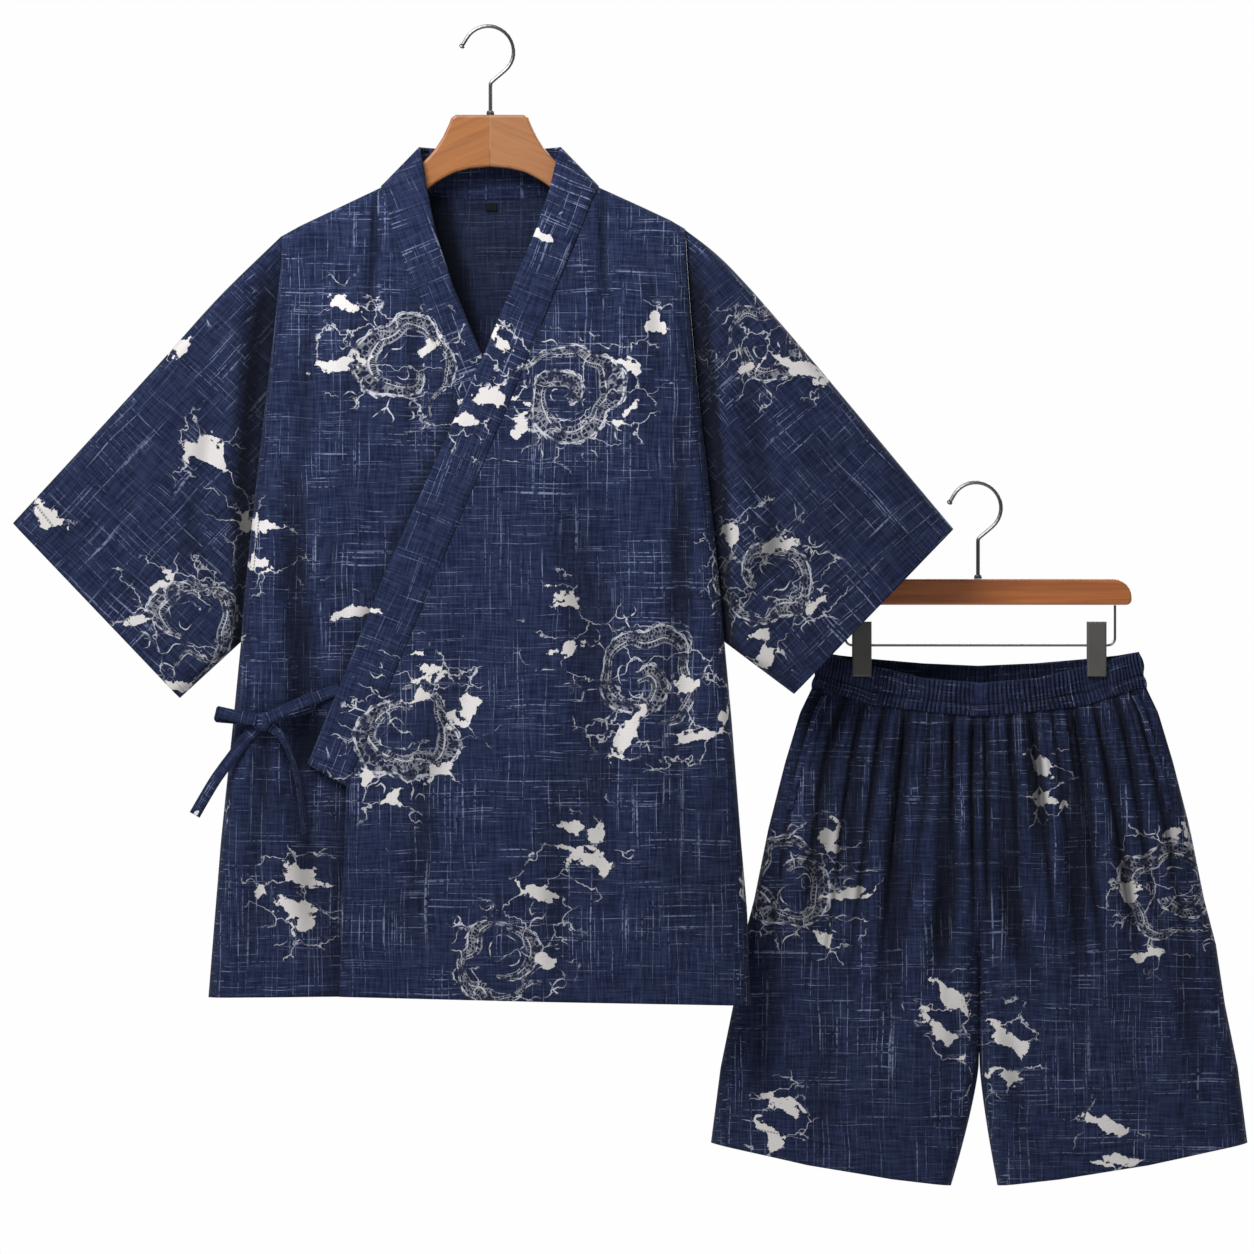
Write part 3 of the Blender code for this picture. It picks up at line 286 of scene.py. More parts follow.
SLEEVE_CREASES = {
    "sleeve_left": (
        (-222.0, -235.0, -258.0, -560.0, 12.0, -3.4),
        (-242.0, -262.0, -284.0, -560.0, 13.0, 2.4),
        (-268.0, -300.0, -316.0, -600.0, 15.0, -2.0),
        (-300.0, -340.0, -352.0, -560.0, 18.0, 1.5),
        (-262.0, -590.0, -300.0, -500.0, 11.0, -2.6),
        (-276.0, -610.0, -330.0, -560.0, 10.0, 1.8),
        (-340.0, -420.0, -400.0, -520.0, 20.0, -1.2),
        (-386.0, -440.0, -430.0, -490.0, 14.0, 1.2),
    ),
    "sleeve_right": (
        (206.0, -235.0, 242.0, -570.0, 12.0, -3.6),
        (226.0, -262.0, 262.0, -570.0, 13.0, 2.6),
        (250.0, -300.0, 300.0, -600.0, 15.0, -2.4),
        (292.0, -350.0, 338.0, -560.0, 18.0, 1.6),
        (248.0, -590.0, 288.0, -500.0, 11.0, -2.8),
        (262.0, -606.0, 318.0, -560.0, 10.0, 1.8),
        (330.0, -420.0, 386.0, -530.0, 20.0, -1.4),
        (372.0, -440.0, 420.0, -500.0, 14.0, 1.2),
    ),
}
SHORTS_CREASES = (
    # The front and the back share these, from the middle line out.
    (-140.0, -700.0, -176.0, -980.0, 9.0, -3.0),
    (-116.0, -700.0, -138.0, -900.0, 8.0, -3.6),
    (-78.0, -700.0, -92.0, -1020.0, 11.0, -4.0),
    (-98.0, -740.0, -118.0, -1120.0, 15.0, 2.6),
    (-36.0, -700.0, -40.0, -960.0, 8.0, -3.6),
    (-58.0, -760.0, -64.0, -1140.0, 14.0, 2.4),
    (-16.0, -820.0, -60.0, -980.0, 12.0, -2.8),
    (-200.0, -860.0, -226.0, -1100.0, 15.0, -2.6),
    (-150.0, -960.0, -160.0, -1150.0, 18.0, -2.4),
    (-20.0, -960.0, -44.0, -1150.0, 11.0, -2.0),
    (24.0, -700.0, 28.0, -940.0, 8.0, -3.4),
    (54.0, -700.0, 60.0, -880.0, 8.0, -3.0),
    (92.0, -690.0, 104.0, -980.0, 11.0, -4.6),
    (74.0, -740.0, 86.0, -1120.0, 15.0, 2.6),
    (128.0, -700.0, 158.0, -960.0, 9.0, -3.0),
    (118.0, -760.0, 150.0, -1120.0, 16.0, 2.6),
    (16.0, -820.0, 64.0, -990.0, 12.0, -2.8),
    (196.0, -860.0, 222.0, -1100.0, 15.0, -2.8),
    (180.0, -960.0, 196.0, -1140.0, 16.0, 2.0),
    (150.0, -960.0, 150.0, -1150.0, 18.0, -2.2),
    (22.0, -980.0, 50.0, -1150.0, 11.0, -2.2),
)

# The print. A round motif is a coiled scaly body; blots are torn white patches near it.
FRONT_ROUNDELS = (
    # x, z, radius, turn in degrees, mirrored, share of the coil that starts and ends it
    (-92.0, -338.0, 52.0, -15.0, False, 0.14, 1.0),
    (76.0, -374.0, 54.0, 75.0, True, 0.0, 1.0),
    (-303.0, -588.0, 46.0, -60.0, False, 0.22, 1.0),
    (276.0, -322.0, 42.0, 40.0, True, 0.2, 1.0),
    (282.0, -548.0, 50.0, 170.0, False, 0.1, 0.95),
    (146.0, -650.0, 58.0, -35.0, False, 0.0, 1.0),
    (-92.0, -705.0, 54.0, 120.0, True, 0.15, 1.0),
    (14.0, -925.0, 50.0, -100.0, True, 0.1, 1.0),
    (306.0, -862.0, 50.0, 95.0, False, 0.12, 1.0),
    (690.0, -858.0, 54.0, -70.0, True, 0.1, 1.0),
)
BACK_ROUNDELS = (
    (-88.0, -360.0, 60.0, 160.0, True, 0.0, 1.0),
    (104.0, -470.0, 58.0, 30.0, False, 0.0, 1.0),
    (-130.0, -650.0, 56.0, -70.0, False, 0.0, 1.0),
    (60.0, -780.0, 60.0, 100.0, True, 0.0, 1.0),
    (-180.0, -890.0, 50.0, 20.0, True, 0.0, 1.0),
    (-300.0, -460.0, 50.0, 140.0, False, 0.0, 1.0),
    (300.0, -470.0, 52.0, -20.0, True, 0.0, 1.0),
    (330.0, -930.0, 56.0, 40.0, True, 0.0, 1.0),
    (640.0, -900.0, 58.0, 170.0, False, 0.0, 1.0),
)
FRONT_BLOTS = (
    # x, z, half length, half width, turn in degrees
    (-293.0, -785.0, 6.0, 4.0, 55.0),
    (-146.0, -277.0, 18.0, 7.0, -25.0),
    (-150.0, -337.0, 20.0, 9.0, 12.0),
    (-62.0, -322.0, 12.0, 6.0, 40.0),
    (10.0, -314.0, 19.0, 9.0, -50.0),
    (-3.0, -370.0, 20.0, 10.0, 10.0),
    (166.0, -297.0, 14.0, 9.0, -30.0),
    (130.0, -334.0, 18.0, 6.0, -25.0),
    (138.0, -384.0, 15.0, 6.0, 50.0),
    (30.0, -400.0, 16.0, 8.0, 70.0),
    (-26.0, -392.0, 9.0, 9.0, 0.0),
    (74.0, -569.0, 22.0, 8.0, -10.0),
    (78.0, -621.0, 18.0, 8.0, 15.0),
    (194.0, -655.0, 9.0, 9.0, 0.0),
    (138.0, -706.0, 20.0, 8.0, 60.0),
    (202.0, -710.0, 22.0, 7.0, 15.0),
    (230.0, -690.0, 8.0, 6.0, 60.0),
    (-62.0, -640.0, 15.0, 8.0, -35.0),
    (-70.0, -664.0, 6.0, 14.0, 0.0),
    (-20.0, -680.0, 17.0, 11.0, 40.0),
    (-48.0, -742.0, 22.0, 8.0, 30.0),
    (-121.0, -748.0, 12.0, 8.0, 0.0),
    (-98.0, -770.0, 6.0, 13.0, 0.0),
    (88.0, -799.0, 22.0, 9.0, -15.0),
    (100.0, -832.0, 22.0, 10.0, -20.0),
    (48.0, -866.0, 16.0, 9.0, -30.0),
    (56.0, -934.0, 6.0, 16.0, 0.0),
    (-190.0, -846.0, 22.0, 9.0, -12.0),
    (-200.0, -878.0, 24.0, 9.0, -28.0),
    (-184.0, -896.0, 8.0, 14.0, 0.0),
    (-135.0, -584.0, 18.0, 7.0, 5.0),
    (-229.0, -498.0, 18.0, 9.0, -18.0),
    (-228.0, -535.0, 11.0, 8.0, 0.0),
    (50.0, -207.0, 12.0, 6.0, -50.0),
    (-447.0, -486.0, 18.0, 9.0, -35.0),
    (-285.0, -424.0, 13.0, 13.0, 0.0),
    (-276.0, -432.0, 16.0, 6.0, -30.0),
    (-310.0, -318.0, 9.0, 11.0, 0.0),
    (-330.0, -556.0, 12.0, 6.0, 45.0),
    (-310.0, -657.0, 10.0, 6.0, 0.0),
    (-352.0, -592.0, 9.0, 6.0, 30.0),
    (285.0, -517.0, 16.0, 6.0, 10.0),
    (242.0, -507.0, 7.0, 11.0, 0.0),
    (314.0, -342.0, 22.0, 8.0, -25.0),
    (256.0, -340.0, 12.0, 6.0, 20.0),
    (276.0, -628.0, 8.0, 17.0, 10.0),
    (268.0, -606.0, 16.0, 6.0, 20.0),
    (330.0, -572.0, 12.0, 6.0, 40.0),
    (338.0, -808.0, 10.0, 16.0, 10.0),
    (358.0, -866.0, 17.0, 9.0, 14.0),
    (336.0, -908.0, 7.0, 12.0, 20.0),
    (555.0, -742.0, 15.0, 8.5, -34.0),
    (559.0, -771.0, 13.0, 7.5, -12.0),
    (460.0, -970.0, 16.0, 8.0, -42.0),
    (453.0, -1006.0, 20.0, 8.0, -50.0),
    (522.0, -1014.0, 19.0, 8.5, -38.0),
    (520.0, -1050.0, 16.0, 7.0, -12.0),
    (295.0, -1079.0, 17.0, 8.0, -34.0),
    (284.0, -1112.0, 17.0, 8.0, -52.0),
    (620.0, -1101.0, 20.0, 8.0, -26.0),
    (628.0, -1132.0, 17.0, 8.0, -4.0),
    (641.0, -867.0, 8.5, 13.0, 0.0),
    (684.0, -805.0, 12.0, 8.0, 10.0),
    (658.0, -928.0, 12.0, 5.5, 22.0),
)
BACK_BLOTS = (
    (-30.0, -320.0, 20.0, 9.0, 20.0),
    (-140.0, -400.0, 16.0, 9.0, -30.0),
    (-150.0, -300.0, 18.0, 7.0, 0.0),
    (60.0, -420.0, 16.0, 8.0, 50.0),
    (160.0, -520.0, 20.0, 8.0, -20.0),
    (150.0, -300.0, 18.0, 9.0, 10.0),
    (140.0, -330.0, 16.0, 9.0, -20.0),
    (-20.0, -560.0, 20.0, 9.0, -15.0),
    (-30.0, -595.0, 20.0, 9.0, -30.0),
    (-190.0, -610.0, 12.0, 14.0, 0.0),
    (-80.0, -700.0, 20.0, 8.0, 30.0),
    (120.0, -730.0, 18.0, 8.0, 40.0),
    (10.0, -830.0, 20.0, 9.0, -10.0),
    (200.0, -650.0, 18.0, 8.0, -30.0),
    (190.0, -860.0, 22.0, 9.0, 10.0),
    (180.0, -895.0, 18.0, 9.0, -15.0),
    (-120.0, -840.0, 16.0, 8.0, 25.0),
    (-240.0, -940.0, 12.0, 9.0, 0.0),
    (-40.0, -900.0, 18.0, 8.0, -25.0),
    (-350.0, -420.0, 16.0, 9.0, 30.0),
    (-260.0, -520.0, 16.0, 8.0, -20.0),
    (-300.0, -600.0, 12.0, 8.0, 0.0),
    (350.0, -430.0, 18.0, 8.0, -30.0),
    (270.0, -560.0, 16.0, 8.0, 20.0),
    (400.0, -520.0, 12.0, 9.0, 0.0),
    (400.0, -870.0, 18.0, 9.0, 10.0),
    (290.0, -1040.0, 20.0, 8.0, -20.0),
    (440.0, -1060.0, 20.0, 9.0, 20.0),
    (560.0, -780.0, 20.0, 8.0, -15.0),
    (575.0, -815.0, 18.0, 9.0, -30.0),
    (700.0, -960.0, 14.0, 9.0, 0.0),
    (600.0, -1060.0, 22.0, 9.0, -20.0),
    (640.0, -1110.0, 18.0, 8.0, 10.0),
)
# The motif's own drawing, in parts of its radius: the body's middle line, and single strokes round it.
COIL = (
    (-0.06, 0.00), (0.16, 0.24), (0.44, 0.12), (0.44, -0.28), (0.08, -0.52), (-0.38, -0.44), (-0.62, -0.02),
    (-0.50, 0.42), (-0.24, 0.60), (-0.04, 0.88), (0.42, 0.86), (0.66, 0.56), (0.95, 0.36), (0.94, -0.10),
    (0.74, -0.40), (0.88, -0.80),
)
COIL_HALF_WIDTH = 0.155
STROKES = (
    ((-0.45, -0.58), (-0.62, -0.72), (-0.56, -0.92), (-0.70, -1.04)),
    ((-0.62, -0.72), (-0.82, -0.70), (-0.94, -0.84)),
    ((0.05, -0.68), (0.00, -0.88), (0.16, -1.00), (0.12, -1.14)),
    ((0.00, -0.88), (-0.12, -0.94), (-0.22, -1.06)),
    ((-0.76, 0.05), (-0.94, 0.12), (-1.02, 0.00), (-1.14, 0.06)),
    ((-0.94, 0.12), (-1.00, 0.28), (-1.14, 0.32)),
    ((-0.56, 0.60), (-0.74, 0.74), (-0.70, 0.92), (-0.84, 1.02)),
    ((-0.74, 0.74), (-0.86, 0.70), (-0.96, 0.78)),
    ((0.10, 1.00), (0.22, 1.12), (0.38, 1.04), (0.46, 1.16)),
    ((0.84, 0.66), (0.98, 0.80), (0.94, 0.98), (1.06, 1.06)),
    ((0.98, 0.80), (1.12, 0.76), (1.20, 0.88)),
    ((1.10, 0.10), (1.22, 0.02), (1.18, -0.14), (1.28, -0.24)),
    ((0.56, -0.46), (0.42, -0.62), (0.52, -0.78), (0.40, -0.92)),
    ((0.88, -0.80), (1.02, -0.92), (0.96, -1.08)),
    ((0.88, -0.80), (0.72, -0.94), (0.78, -1.10)),
    ((-0.28, 0.10), (-0.20, 0.28), (-0.02, 0.30), (0.02, 0.42)),
    ((0.20, -0.02), (0.24, -0.18), (0.10, -0.26), (-0.04, -0.18)),
    ((-0.22, -0.24), (-0.38, -0.14), (-0.34, 0.04)),
)


def quarter_round(share):
    """Height of a quarter circle, 0 to 1, above its edge."""
    share = min(max(share, 0.0), 1.0)
    return math.sqrt(1.0 - (1.0 - share) ** 2)


def ease(share):
    """Smooth step from 0 to 1."""
    share = min(max(share, 0.0), 1.0)
    return share * share * (3.0 - 2.0 * share)


def reading(rows, key, column=1):
    """A table's column, read between its rows by the value in its first column."""
    if (rows[0][0] - rows[-1][0]) * (key - rows[0][0]) >= 0:
        return rows[0][column]
    for low, high in zip(rows, rows[1:]):
        if min(low[0], high[0]) <= key <= max(low[0], high[0]):
            share = (key - low[0]) / (high[0] - low[0])
            return low[column] + share * (high[column] - low[column])
    return rows[-1][column]


def on_path(points, share):
    """A point on a smooth curve through the given points, at a share of the way along them."""
    spans = len(points) - 1
    place = min(max(share, 0.0), 1.0) * spans
    at = min(int(place), spans - 1)
    t = place - at
    near, far = points[at], points[at + 1]
    before = points[max(at - 1, 0)]
    after = points[min(at + 2, spans)]
    found = []
    for p0, p1, p2, p3 in zip(before, near, far, after):
        slope = p2 - p0
        bend = 2 * p0 - 5 * p1 + 4 * p2 - p3
        twist = 3 * p1 - p0 - 3 * p2 + p3
        found.append(0.5 * (2 * p1 + slope * t + bend * t**2 + twist * t**3))
    return found


def round_the_ends(share, length, first, last):
    """Distance across a face, and along its cloth, where the cloth bends away at rounded ends."""
    first_arc, last_arc = 0.5 * math.pi * first, 0.5 * math.pi * last
    whole = first_arc + length - first - last + last_arc
    along = share * whole
    if along < first_arc:
        return first * (1.0 - math.cos(along / first)), along
    if along > whole - last_arc:
        return length - last * (1.0 - math.cos((whole - along) / last)), along
    return first + along - first_arc, along


def crease_height(rows, x, z):
    """How far the creases in a table lift the cloth at a place."""
    total = 0.0
    for x_top, z_top, x_foot, z_foot, width, rise in rows:
        if not z_foot - 3.0 * width < z < z_top + 3.0 * width:
            if not z_top - 3.0 * width < z < z_foot + 3.0 * width:
                continue
        run_x, run_z = x_foot - x_top, z_foot - z_top
        length = run_x * run_x + run_z * run_z
        share = ((x - x_top) * run_x + (z - z_top) * run_z) / length
        if not 0.0 < share < 1.0:
            continue
        across = ((x - x_top) * run_z - (z - z_top) * run_x) / (math.sqrt(length) * width)
        if abs(across) < 3.0:
            total += rise * math.exp(-across * across) * math.sin(math.pi * share) ** 0.8
    return total


def slack(x, z, seed, tall=150.0, wide=55.0):
    """The slow unevenness of hanging cloth."""
    return noise.noise(Vector((x / wide, z / tall, seed)))


def top_line(x):
    """Height of the shoulder at x, carried on up the collar's slope and level across the neck."""
    if abs(x) >= NECK_POINT[0]:
        return reading(SHOULDER_LINE, x)
    slope = (NECK_PEAK[1] - NECK_POINT[1]) / (NECK_POINT[0] - NECK_PEAK[0])
    return NECK_POINT[1] + (NECK_POINT[0] - max(abs(x), NECK_FLAT)) * slope


def jacket_depth(x, z, detail=FRONT_DETAIL, seed=3.0):
    """How far the jacket's outer face stands from its middle plane."""
    near_side = min(x - reading(SIDES, z, 1), reading(SIDES, z, 2) - x)
    drop = top_line(x) - z
    lean = COLLAR_LEAN if abs(x) < NECK_POINT[0] else SHOULDER_LEAN
    armhole = ARMHOLE_DEPTH * quarter_round((z - UNDERARM) / ARMHOLE_ROUND)
    full = SHOULDER_DEPTH + (BODY_DEPTH - SHOULDER_DEPTH) * ease(drop / SHOULDER_TO_BODY)
    depth = armhole + (full - armhole) * quarter_round(near_side / SIDE_ROUND)
    inside = ease(near_side / 40.0)
    depth += 2.0 * crease_height(FRONT_CREASES, x, z) * inside
    depth += CREASE_GAIN * crease_height(detail, x, z) * ease(near_side / 18.0)
    depth += 1.1 * slack(x, z, seed) * inside * ease(drop / 60.0)
    return 0.5 * SEAM_GAP + depth * quarter_round(lean * drop / SHOULDER_ROUND)


def fold_painted_shade(x, z, detail):
    """Painted shade on the jacket's cloth: 1 at the bottom of the deepest trough, and darker towards the bottom of the
    jacket.
    """
    total = crease_height(FRONT_CREASES, x, z) + CREASE_GAIN * crease_height(detail, x, z)
    # Painted shade: besides the troughs, the cloth darkens below z = -640 mm, towards the hem, standing in for the
    # lamp's light falling off.
    return 1.0 - math.exp(-max(-total - 0.6, 0.0) / 5.2) + 0.12 * ease((-640.0 - z) / 260.0)


def back_depth(x, z):
    return jacket_depth(x, z, BACK_DETAIL, 9.0)


def under_depth(x, z):
    """The under front's outer face, which sinks where the over front laps it."""
    past_edge = 0.9 * (x - reading(BAND_EDGE, z, 1))
    if z < BAND_END[1]:
        past_edge = x - reading(BAND_SEAM, z, 1)
        past_edge += (reading(BAND_SEAM, z, 1) - BAND_EDGE[-1][1]) * (1.0 - ease((BAND_END[1] - z) / 40.0))
    return jacket_depth(x, z) - LAP_INSET * ease((past_edge + LAP_LEAD + LAP_WIDTH) / LAP_WIDTH)


def blot_strength(blots, x, z):
    """How far a place lies inside the white patches: 1 at a patch's middle."""
    total = 0.0
    for at_x, at_z, long, wide, turn in blots:
        dx, dz = x - at_x, z - at_z
        if abs(dx) > 45.0 or abs(dz) > 45.0:
            continue
        cosine, sine = math.cos(math.radians(turn)), math.sin(math.radians(turn))
        along, across = (dx * cosine + dz * sine) / (1.15 * long), (dz * cosine - dx * sine) / (0.85 * wide)
        total += math.exp(-along * along - across * across)
    return total


def print_reach(roundels, blots, x, z):
    """Where the fine cracked lines show: round the motifs and the patches."""
    total = 0.0
    for row in roundels:
        dx, dz = (x - row[0]) / (1.3 * row[2]), (z - row[1]) / (1.3 * row[2])
        total += math.exp(-((dx * dx + dz * dz) ** 2))
    for row in blots:
        dx, dz = x - row[0], z - row[1]
        if abs(dx) < 110.0 and abs(dz) < 110.0:
            total += 0.75 * math.exp(-(dx * dx + dz * dz) / 2400.0)
    return min(total, 1.0)


def nearest_on(line, x, y):
    """Signed distance to a line of points, and the share of the way along it."""
    best, best_share, best_side = 1e9, 0.0, 1.0
    spans = len(line) - 1
    for k in range(spans):
        ax, ay = line[k]
        bx, by = line[k + 1]
        run_x, run_y = bx - ax, by - ay
        share = ((x - ax) * run_x + (y - ay) * run_y) / (run_x * run_x + run_y * run_y)
        share = min(max(share, 0.0), 1.0)
        off_x, off_y = x - ax - share * run_x, y - ay - share * run_y
        apart = off_x * off_x + off_y * off_y
        if apart < best:
            best, best_share = apart, (k + share) / spans
            best_side = 1.0 if run_x * off_y - run_y * off_x > 0 else -1.0
    return best_side * math.sqrt(best), best_share


COIL_LINE = [on_path(COIL, k / 54) for k in range(55)]
COIL_LENGTH = sum(math.dist(a, b) for a, b in zip(COIL_LINE, COIL_LINE[1:]))
STROKE_LINES = [[on_path(stroke, k / 8) for k in range(9)] for stroke in STROKES]
NOWHERE = (0.0, 9.0, 0.0)
NO_INK = (9.0, 0.0, 99.0)


def motif_at(roundels, x, z):
    """Where a place lies on the motif's body, and how near it is to one of its strokes."""
    for at_x, at_z, radius, turn, mirrored, first, last in roundels:
        dx, dz = (x - at_x) / radius, (z - at_z) / radius
        if dx * dx + dz * dz > 1.9:
            continue
        # No two motifs are drawn alike.
        bend = noise.noise_vector(Vector((1.5 * dx, 1.5 * dz, 0.1 * at_x)))
        dx, dz = dx + 0.15 * bend.x, dz + 0.15 * bend.y
        if mirrored:
            dx = -dx
        cosine, sine = math.cos(math.radians(turn)), math.sin(math.radians(turn))
        dx, dz = dx * cosine + dz * sine, dz * cosine - dx * sine
        apart, share = nearest_on(COIL_LINE, dx, dz)
        drawn = min(max((share - first) / (last - first), 0.0), 1.0)
        width = COIL_HALF_WIDTH * min(1.0, 2.6 * (1.0 - drawn)) ** 0.8 * min(1.0, 0.45 + 3.0 * drawn)
        width *= 1.0 + 0.9 * noise.noise(Vector((9.0 * share, 0.1 * at_x, 2.0)))
        body = NOWHERE
        across = apart / max(width, 0.01)
        if abs(across) < 2.0 and first < share < last:
            body = (share * COIL_LENGTH * radius, across, 1.0)
        ink, nearest = NO_INK, 1e9
        for line in STROKE_LINES:
            if abs(line[4][0] - dx) > 0.5 or abs(line[4][1] - dz) > 0.5:
                continue
            apart, share = nearest_on(line, dx, dz)
            if abs(apart) < nearest:
                nearest = abs(apart)
                ink = (apart * radius, math.sin(math.pi * min(0.12 + 0.88 * share, 1.0)), nearest * radius)
        return body, ink
    return NOWHERE, NO_INK


def cut_piece(name, across, down, place, cloths, thick=CLOTH, ring=False, turned=False, lift=0.0, side=None):
    """A cut piece of cloth: a grid that place(u, v) lays out, with what its materials read.

    place gives the point, its place on the cloth's threads, its nearest stitch line, and, where that
    matters, how much painted shade darkens it in folds and hollows, and how much painted shade darkens its wrong side.
    """
    mesh = bmesh.new()
    bmesh.ops.create_grid(mesh, x_segments=across, y_segments=down, size=0.5)
    threads = mesh.verts.layers.float_vector.new("threads")
    stitches = mesh.verts.layers.float_vector.new("stitches")
    bodies = mesh.verts.layers.float_vector.new("motif_body")
    inks = mesh.verts.layers.float_vector.new("motif_stroke")
    # Painted shade for each vertex, read by the cloth materials.
    painted_shades = mesh.verts.layers.float.new("painted_shade")
    inners = mesh.verts.layers.float.new("inner_shade")
    blots = mesh.verts.layers.float.new("blot")
    reaches = mesh.verts.layers.float.new("cracks")
    for vert in mesh.verts:
        point, thread, stitch, *shade = place(vert.co.x + 0.5, 0.5 - vert.co.y)
        vert.co = point
        vert[threads] = thread
        vert[stitches] = stitch
        vert[painted_shades] = min(max(shade[0], 0.0), 1.0) if shade else 0.0
        vert[inners] = min(max(shade[1], 0.0), 1.0) if len(shade) > 1 else 0.0
        front = point.y < (SHORTS_BACK if point.x > 180.0 and point.y > 24.0 else 0.0) if side is None else side < 0
        roundels, patches = (FRONT_ROUNDELS, FRONT_BLOTS) if front else (BACK_ROUNDELS, BACK_BLOTS)
        vert[bodies], vert[inks] = motif_at(roundels, point.x, point.z)
        vert[blots] = blot_strength(patches, point.x, point.z)
        vert[reaches] = print_reach(roundels, patches, point.x, point.z)
    if ring:
        bmesh.ops.remove_doubles(mesh, verts=mesh.verts, dist=0.02)
    if turned:
        bmesh.ops.reverse_faces(mesh, faces=mesh.faces)
    if lift:
        mesh.normal_update()
        moves = [(vert, vert.normal.copy()) for vert in mesh.verts]
        for vert, normal in moves:
            vert.co += lift * normal
    made = finish(name, mesh, cloths)
    wall = made.modifiers.new("wall", "SOLIDIFY")
    wall.thickness = thick * MM
    wall.offset = -1.0
    wall.material_offset = len(cloths) - 1
    wall.material_offset_rim = 0
    return made


def finish(name, mesh, materials):
    """Turns a bmesh in millimetres into a named piece in metres."""
    bmesh.ops.scale(mesh, vec=(MM, MM, MM), verts=mesh.verts)
    data = bpy.data.meshes.new(name)
    mesh.to_mesh(data)
    mesh.free()
    data.shade_smooth()
    for finish_material in materials:
        data.materials.append(finish_material)
    made = bpy.data.objects.new(name, data)
    bpy.context.scene.collection.objects.link(made)
    return made


NO_STITCH = (99.0, 0.0, 99.0)


def nearest_stitch(*lines):
    """Of stitch lines given as distance across and place along, the nearest one."""
    across, along = min(lines, key=lambda line: abs(line[0]))
    return across, along, abs(across)


# Materials.


def linear(code):
    """An sRGB hex colour as linear red, green, blue and alpha."""
    channels = [int(code[k : k + 2], 16) / 255.0 for k in (1, 3, 5)]
    return (*[c / 12.92 if c <= 0.04045 else ((c + 0.055) / 1.055) ** 2.4 for c in channels], 1.0)


def add(tree, kind, inputs=None, **settings):
    """Adds a node with its settings; an input is a value, or the socket that feeds it."""
    node = tree.nodes.new(kind)
    for name, value in settings.items():
        setattr(node, name, value)
    for name, value in (inputs or {}).items():
        if isinstance(value, bpy.types.NodeSocket):
            tree.links.new(value, node.inputs[name])
        else:
            node.inputs[name].default_value = value
    return node


def new_material(name, roughness, **sockets):
    made = bpy.data.materials.new(name)
    made.use_nodes = True
    shader = made.node_tree.nodes["Principled BSDF"]
    shader.inputs["Roughness"].default_value = roughness
    for socket, value in sockets.items():
        shader.inputs[socket.replace("_", " ")].default_value = value
    return made, made.node_tree, shader


